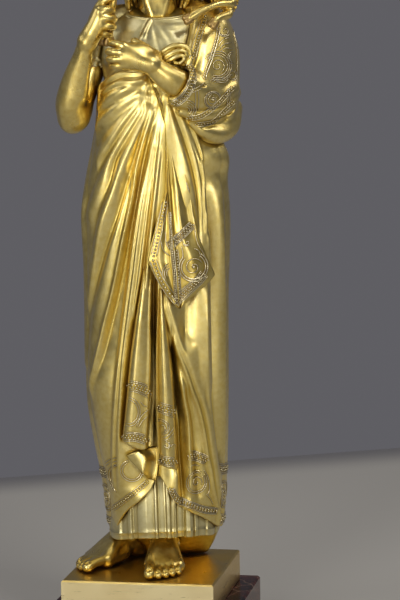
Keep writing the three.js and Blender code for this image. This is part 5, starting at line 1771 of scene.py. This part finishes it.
def plinth_gilding():
    """Satin gilding, brushed level with the edges; browner on the right as painted shade, on the top as a
    painted dark reflection, and darker in recesses as painted shade.
    """
    shading = Shading("plinth_gilding")
    strokes = shading.noise(90, 4, (1.0, 1.0, 16.0), 0.6)
    cloudy = shading.noise(30, 3)
    metal = shading.blend(shading.spread(cloudy, 0.3, 0.7), PLINTH_DULL, PLINTH_PALE)
    facing = shading.node("SeparateXYZ")
    shading.join(shading.place("Normal"), facing.inputs[0])
    # Painted dark reflection on the faces turned upwards.
    top_reflection = shading.spread(shading.sum(facing.outputs["Z"], cloudy, 0.2), 0.4, 1.05)
    # Painted shade on the faces turned to the right.
    metal = shading.blend(shading.spread(facing.outputs["X"], 0.5, 0.9, 0.0, 0.8), metal, PLINTH_RIGHT_SHADE)
    metal = shading.blend(top_reflection, metal, PLINTH_TOP_REFLECTION)
    # Painted shade in recesses.
    metal = shading.blend(shading.spread(shading.depth(0.006), 0.2, 0.9), PLINTH_RECESS, metal)
    shading.finish("Base Color", metal)
    shading.finish("Roughness", shading.spread(strokes, 0.3, 0.7, 0.27, 0.4))
    shading.finish("Metallic", 1)
    shading.relief(strokes, POLISH_RELIEF)
    return shading.material


MARBLE_BLACK = (0.007, 0.003, 0.002)
MARBLE_RED = (0.07, 0.013, 0.009)
MARBLE_FLECK = (0.16, 0.045, 0.03)
MARBLE_VEIN = (0.26, 0.16, 0.12)


def marble_veins(shading):
    """Thin lines between cells, bent out of true by noise."""
    veins = shading.node("TexVoronoi", feature="DISTANCE_TO_EDGE")
    veins.inputs["Scale"].default_value = 34
    warp = shading.node("TexNoise")
    warp.inputs["Scale"].default_value = 40
    scaled = shading.node("VectorMath", operation="SCALE")
    scaled.inputs["Scale"].default_value = 0.03
    warped = shading.node("VectorMath", operation="ADD")
    place = shading.place()
    shading.join(place, warp.inputs["Vector"])
    shading.join(warp.outputs["Color"], scaled.inputs[0])
    shading.join(place, warped.inputs[0])
    shading.join(scaled.outputs["Vector"], warped.inputs[1])
    shading.join(warped.outputs["Vector"], veins.inputs["Vector"])
    return shading.spread(veins.outputs["Distance"], 0.0, 0.028, 0.55, 0.0)


def red_marble():
    """Polished dark red marble with black clouds and pale veins."""
    shading = Shading("red_marble")
    clouds = shading.noise(45, 6, (1, 1, 1.6), 0.62)
    stone = shading.blend(shading.spread(clouds, 0.36, 0.62), MARBLE_BLACK, MARBLE_RED)
    flecks = shading.noise(330, 4, rough=0.7)
    stone = shading.blend(shading.spread(flecks, 0.55, 0.75), stone, MARBLE_FLECK)
    stone = shading.blend(marble_veins(shading), stone, MARBLE_VEIN)
    shading.finish("Base Color", stone)
    shading.finish("Roughness", 0.2)
    shading.finish("Specular IOR Level", 0.2)
    shading.finish("Specular Tint", (0.9, 0.6, 0.45, 1))
    shading.relief(flecks, POLISH_RELIEF)
    return shading.material


# Name, crest colour (painted highlight, partly rubbed gilding), body colour, recess colour (painted shade,
# with some patina), and roughness.
MANTLE_GOLD = gilding("mantle_gold", (0.89, 0.73, 0.28), (0.72, 0.52, 0.092), (0.27, 0.15, 0.02), 0.34)
# A darker copy of the mantle's gilding: painted shade on the hanging end and on the cloth under the hem.
SHADED_CLOTH_GOLD = gilding("shaded_cloth_gold", (0.82, 0.66, 0.22), (0.60, 0.42, 0.058), (0.20, 0.10, 0.012), 0.32)
TUNIC_GOLD = gilding("tunic_gold", (0.76, 0.68, 0.36), (0.56, 0.46, 0.175), (0.20, 0.13, 0.035), 0.36)
SKIN_GOLD = gilding("skin_gold", (0.88, 0.70, 0.24), (0.68, 0.46, 0.068), (0.28, 0.13, 0.016), 0.3)
# A darker copy of the gilding: painted shade on the lamb's hooves.
SHADED_HOOF_GOLD = gilding("shaded_hoof_gold", (0.50, 0.33, 0.11), (0.34, 0.20, 0.05), (0.12, 0.06, 0.012), 0.4)
ORNAMENT_GOLD = gilding("ornament_gold", (0.90, 0.81, 0.55), (0.66, 0.56, 0.31), (0.10, 0.065, 0.025), 0.28)


def refinish(node, material):
    """Gives a carried-over part its finish; its shape stays."""
    piece = bpy.data.objects[node]
    piece.data.materials.clear()
    piece.data.materials.append(material)


# Stage

CAMERA_PLACE = (0.2594, -1.2165, 0.3398)
CAMERA_YAW = math.radians(10.78)
CAMERA_PITCH = math.radians(7.41)
CAMERA_ROLL = math.radians(-0.86)
LENS = 144
SENSOR = 36


def look_from(place, yaw, pitch, roll):
    """A camera's matrix: turned to the left by yaw, down by pitch, and rolled about its view."""
    ahead = Vector((-math.sin(yaw) * math.cos(pitch), math.cos(yaw) * math.cos(pitch), -math.sin(pitch)))
    right = Vector((math.cos(yaw), math.sin(yaw), 0))
    up = right.cross(ahead)
    side = math.cos(roll) * right + math.sin(roll) * up
    above = -math.sin(roll) * right + math.cos(roll) * up
    matrix = Matrix((side, above, -ahead)).transposed().to_4x4()
    matrix.translation = Vector(place)
    return matrix


def make_camera():
    """The photo's view, of the figure from the neck down."""
    data = bpy.data.cameras.new("camera")
    data.lens = LENS
    data.sensor_width = SENSOR
    camera = bpy.data.objects.new("camera", data)
    bpy.context.collection.objects.link(camera)
    camera.matrix_world = look_from(CAMERA_PLACE, CAMERA_YAW, CAMERA_PITCH, CAMERA_ROLL)
    bpy.context.scene.camera = camera


def make_light(name, place, size, energy, color):
    """A soft rectangular light that looks at the figure."""
    data = bpy.data.lights.new(name, "AREA")
    data.shape = "RECTANGLE"
    data.size, data.size_y = size
    data.energy = energy
    data.color = color
    light = bpy.data.objects.new(name, data)
    bpy.context.collection.objects.link(light)
    light.location = place
    light.rotation_euler = (LIGHT_AIM - place).to_track_quat("-Z", "Y").to_euler()


LIGHTS = [  # name, direction round and up from the figure's front in degrees, size in metres, watts, colour
    ("key", -25, 13, (0.4, 0.36), 3.6, (1.0, 0.98, 0.93)),
    ("strip", -27, -1, (0.06, 0.28), 1.8, (1.0, 0.99, 0.96)),
    ("low", -10, -2, (0.3, 0.24), 0.6, (1.0, 0.98, 0.93)),
    ("front", 20, 4, (0.28, 0.28), 2.2, (1.0, 0.97, 0.9)),
    ("left", -64, 24, (0.35, 0.5), 0.9, (1.0, 0.98, 0.94)),
    ("far_left", -86, 32, (0.4, 0.5), 1.3, (1.0, 0.98, 0.94)),
    ("high_left", -55, 70, (0.4, 0.4), 1.3, (1.0, 0.98, 0.94)),
    ("high_right", 38, 46, (0.4, 0.4), 4.8, (1.0, 0.97, 0.9)),
    ("right", 70, 38, (0.4, 0.5), 1.5, (1.0, 0.96, 0.88)),
    ("back_right", 110, 38, (0.4, 0.5), 1.8, (1.0, 0.94, 0.85)),
]
FRONT_TURN = 10.8 - 90
LIGHT_REACH = 1.4
LIGHT_AIM = Vector((0, -0.02, 0.24))
WALL = (0.115, 0.113, 0.125, 1)
TABLE = (0.53, 0.515, 0.485)
TABLE_FAR = (0.23, 0.225, 0.24)
# The table's far edge: metres backwards for each metre to the right, and its distance at the middle.
TABLE_SLANT = 0.528
TABLE_END = 0.487
TABLE_FADE = 0.075
TABLE_HALF = 3
TABLE_NEAR = -5


def make_lights():
    for name, turn, rise, size, energy, color in LIGHTS:
        turn, rise = math.radians(turn + FRONT_TURN), math.radians(rise)
        away = Vector((math.cos(turn) * math.cos(rise), math.sin(turn) * math.cos(rise), math.sin(rise)))
        make_light(name, LIGHT_AIM + LIGHT_REACH * away, size, energy, color)


def make_table():
    """A pale table whose far edge, slanting behind the figure, fades towards the wall."""
    near = [(x, TABLE_NEAR, 0) for x in (-TABLE_HALF, TABLE_HALF)]
    far = [(x, TABLE_END + TABLE_SLANT * x, 0) for x in (TABLE_HALF, -TABLE_HALF)]
    mesh = bpy.data.meshes.new("table")
    mesh.from_pydata(near + far, [], [(0, 1, 2, 3)])
    table = bpy.data.objects.new("table", mesh)
    bpy.context.collection.objects.link(table)
    shading = Shading("table")
    slanted = shading.node("VectorMath", operation="DOT_PRODUCT")
    shading.join(shading.place(), slanted.inputs[0])
    slanted.inputs[1].default_value = (-TABLE_SLANT, 1, 0)
    fade = shading.spread(slanted.outputs["Value"], TABLE_END - TABLE_FADE, TABLE_END)
    shading.finish("Base Color", shading.blend(fade, TABLE, TABLE_FAR))
    shading.finish("Roughness", 0.6)
    mesh.materials.append(shading.material)


def make_stage():
    """A plain grey wall, which is the world, with soft lights and the table."""
    world = bpy.data.worlds.new("world")
    world.use_nodes = True
    world.node_tree.nodes["Background"].inputs[0].default_value = WALL
    bpy.context.scene.world = world
    make_lights()
    make_table()


refinish("gilt_plinth", plinth_gilding())
refinish("marble_base", red_marble())
MANTLE = mantle()
PLEATS = front_pleats()
FLAP = flap()
SLEEVE = sleeve()
# Name, parts, metal, and the share of faces that is left where a piece is smooth enough to be thinned.
PIECES = [
    make_object("mantle", [MANTLE], MANTLE_GOLD),
    make_object("front_pleats", [*PLEATS, turned_corner()], MANTLE_GOLD),
    make_object("hanging_flap", [FLAP], SHADED_CLOTH_GOLD),
    make_object("sleeve", [SLEEVE], MANTLE_GOLD, 0.5),
    make_object("cloth_bunch", [cloth_bunch()], MANTLE_GOLD),
    make_object("tunic", [tunic_skirt(), chest(), shoulder_sleeve()], TUNIC_GOLD, 0.8),
    make_object("standing_cloth", [standing_cloth()], SHADED_CLOTH_GOLD),
    make_object("right_arm", [right_arm()], SKIN_GOLD, 0.5),
    make_object("left_arm", [left_arm()], SKIN_GOLD, 0.5),
    make_object("feet", [foot(7.2, 15.5, -3, 1), foot(-5, 25, -43, -1)], SKIN_GOLD, 0.5),
    make_object("head", [head(), bare_chest()], SKIN_GOLD, 0.45),
    make_object("hair", [hair()], SKIN_GOLD, 0.4),
    make_object("lamb_wool", [lamb_wool()], SKIN_GOLD, 0.7),
    make_object("lamb_limbs", [lamb_limbs()], SKIN_GOLD, 0.6),
    make_object("lamb_hooves", lamb_hooves(), SHADED_HOOF_GOLD),
    make_object("borders", [hem_border(MANTLE), top_border(MANTLE), front_border(MANTLE)], ORNAMENT_GOLD),
    make_object("pleat_ornament", [pleat_ornament(PLEATS)], ORNAMENT_GOLD),
    make_object("flap_ornament", [flap_ornament(FLAP)], ORNAMENT_GOLD),
    make_object("sleeve_ornament", [sleeve_ornament(SLEEVE)], ORNAMENT_GOLD),
]
for piece in PIECES:
    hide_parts("shepherd_with_lamb")

make_stage()
make_camera()
bpy.context.scene.view_settings.view_transform = "Standard"
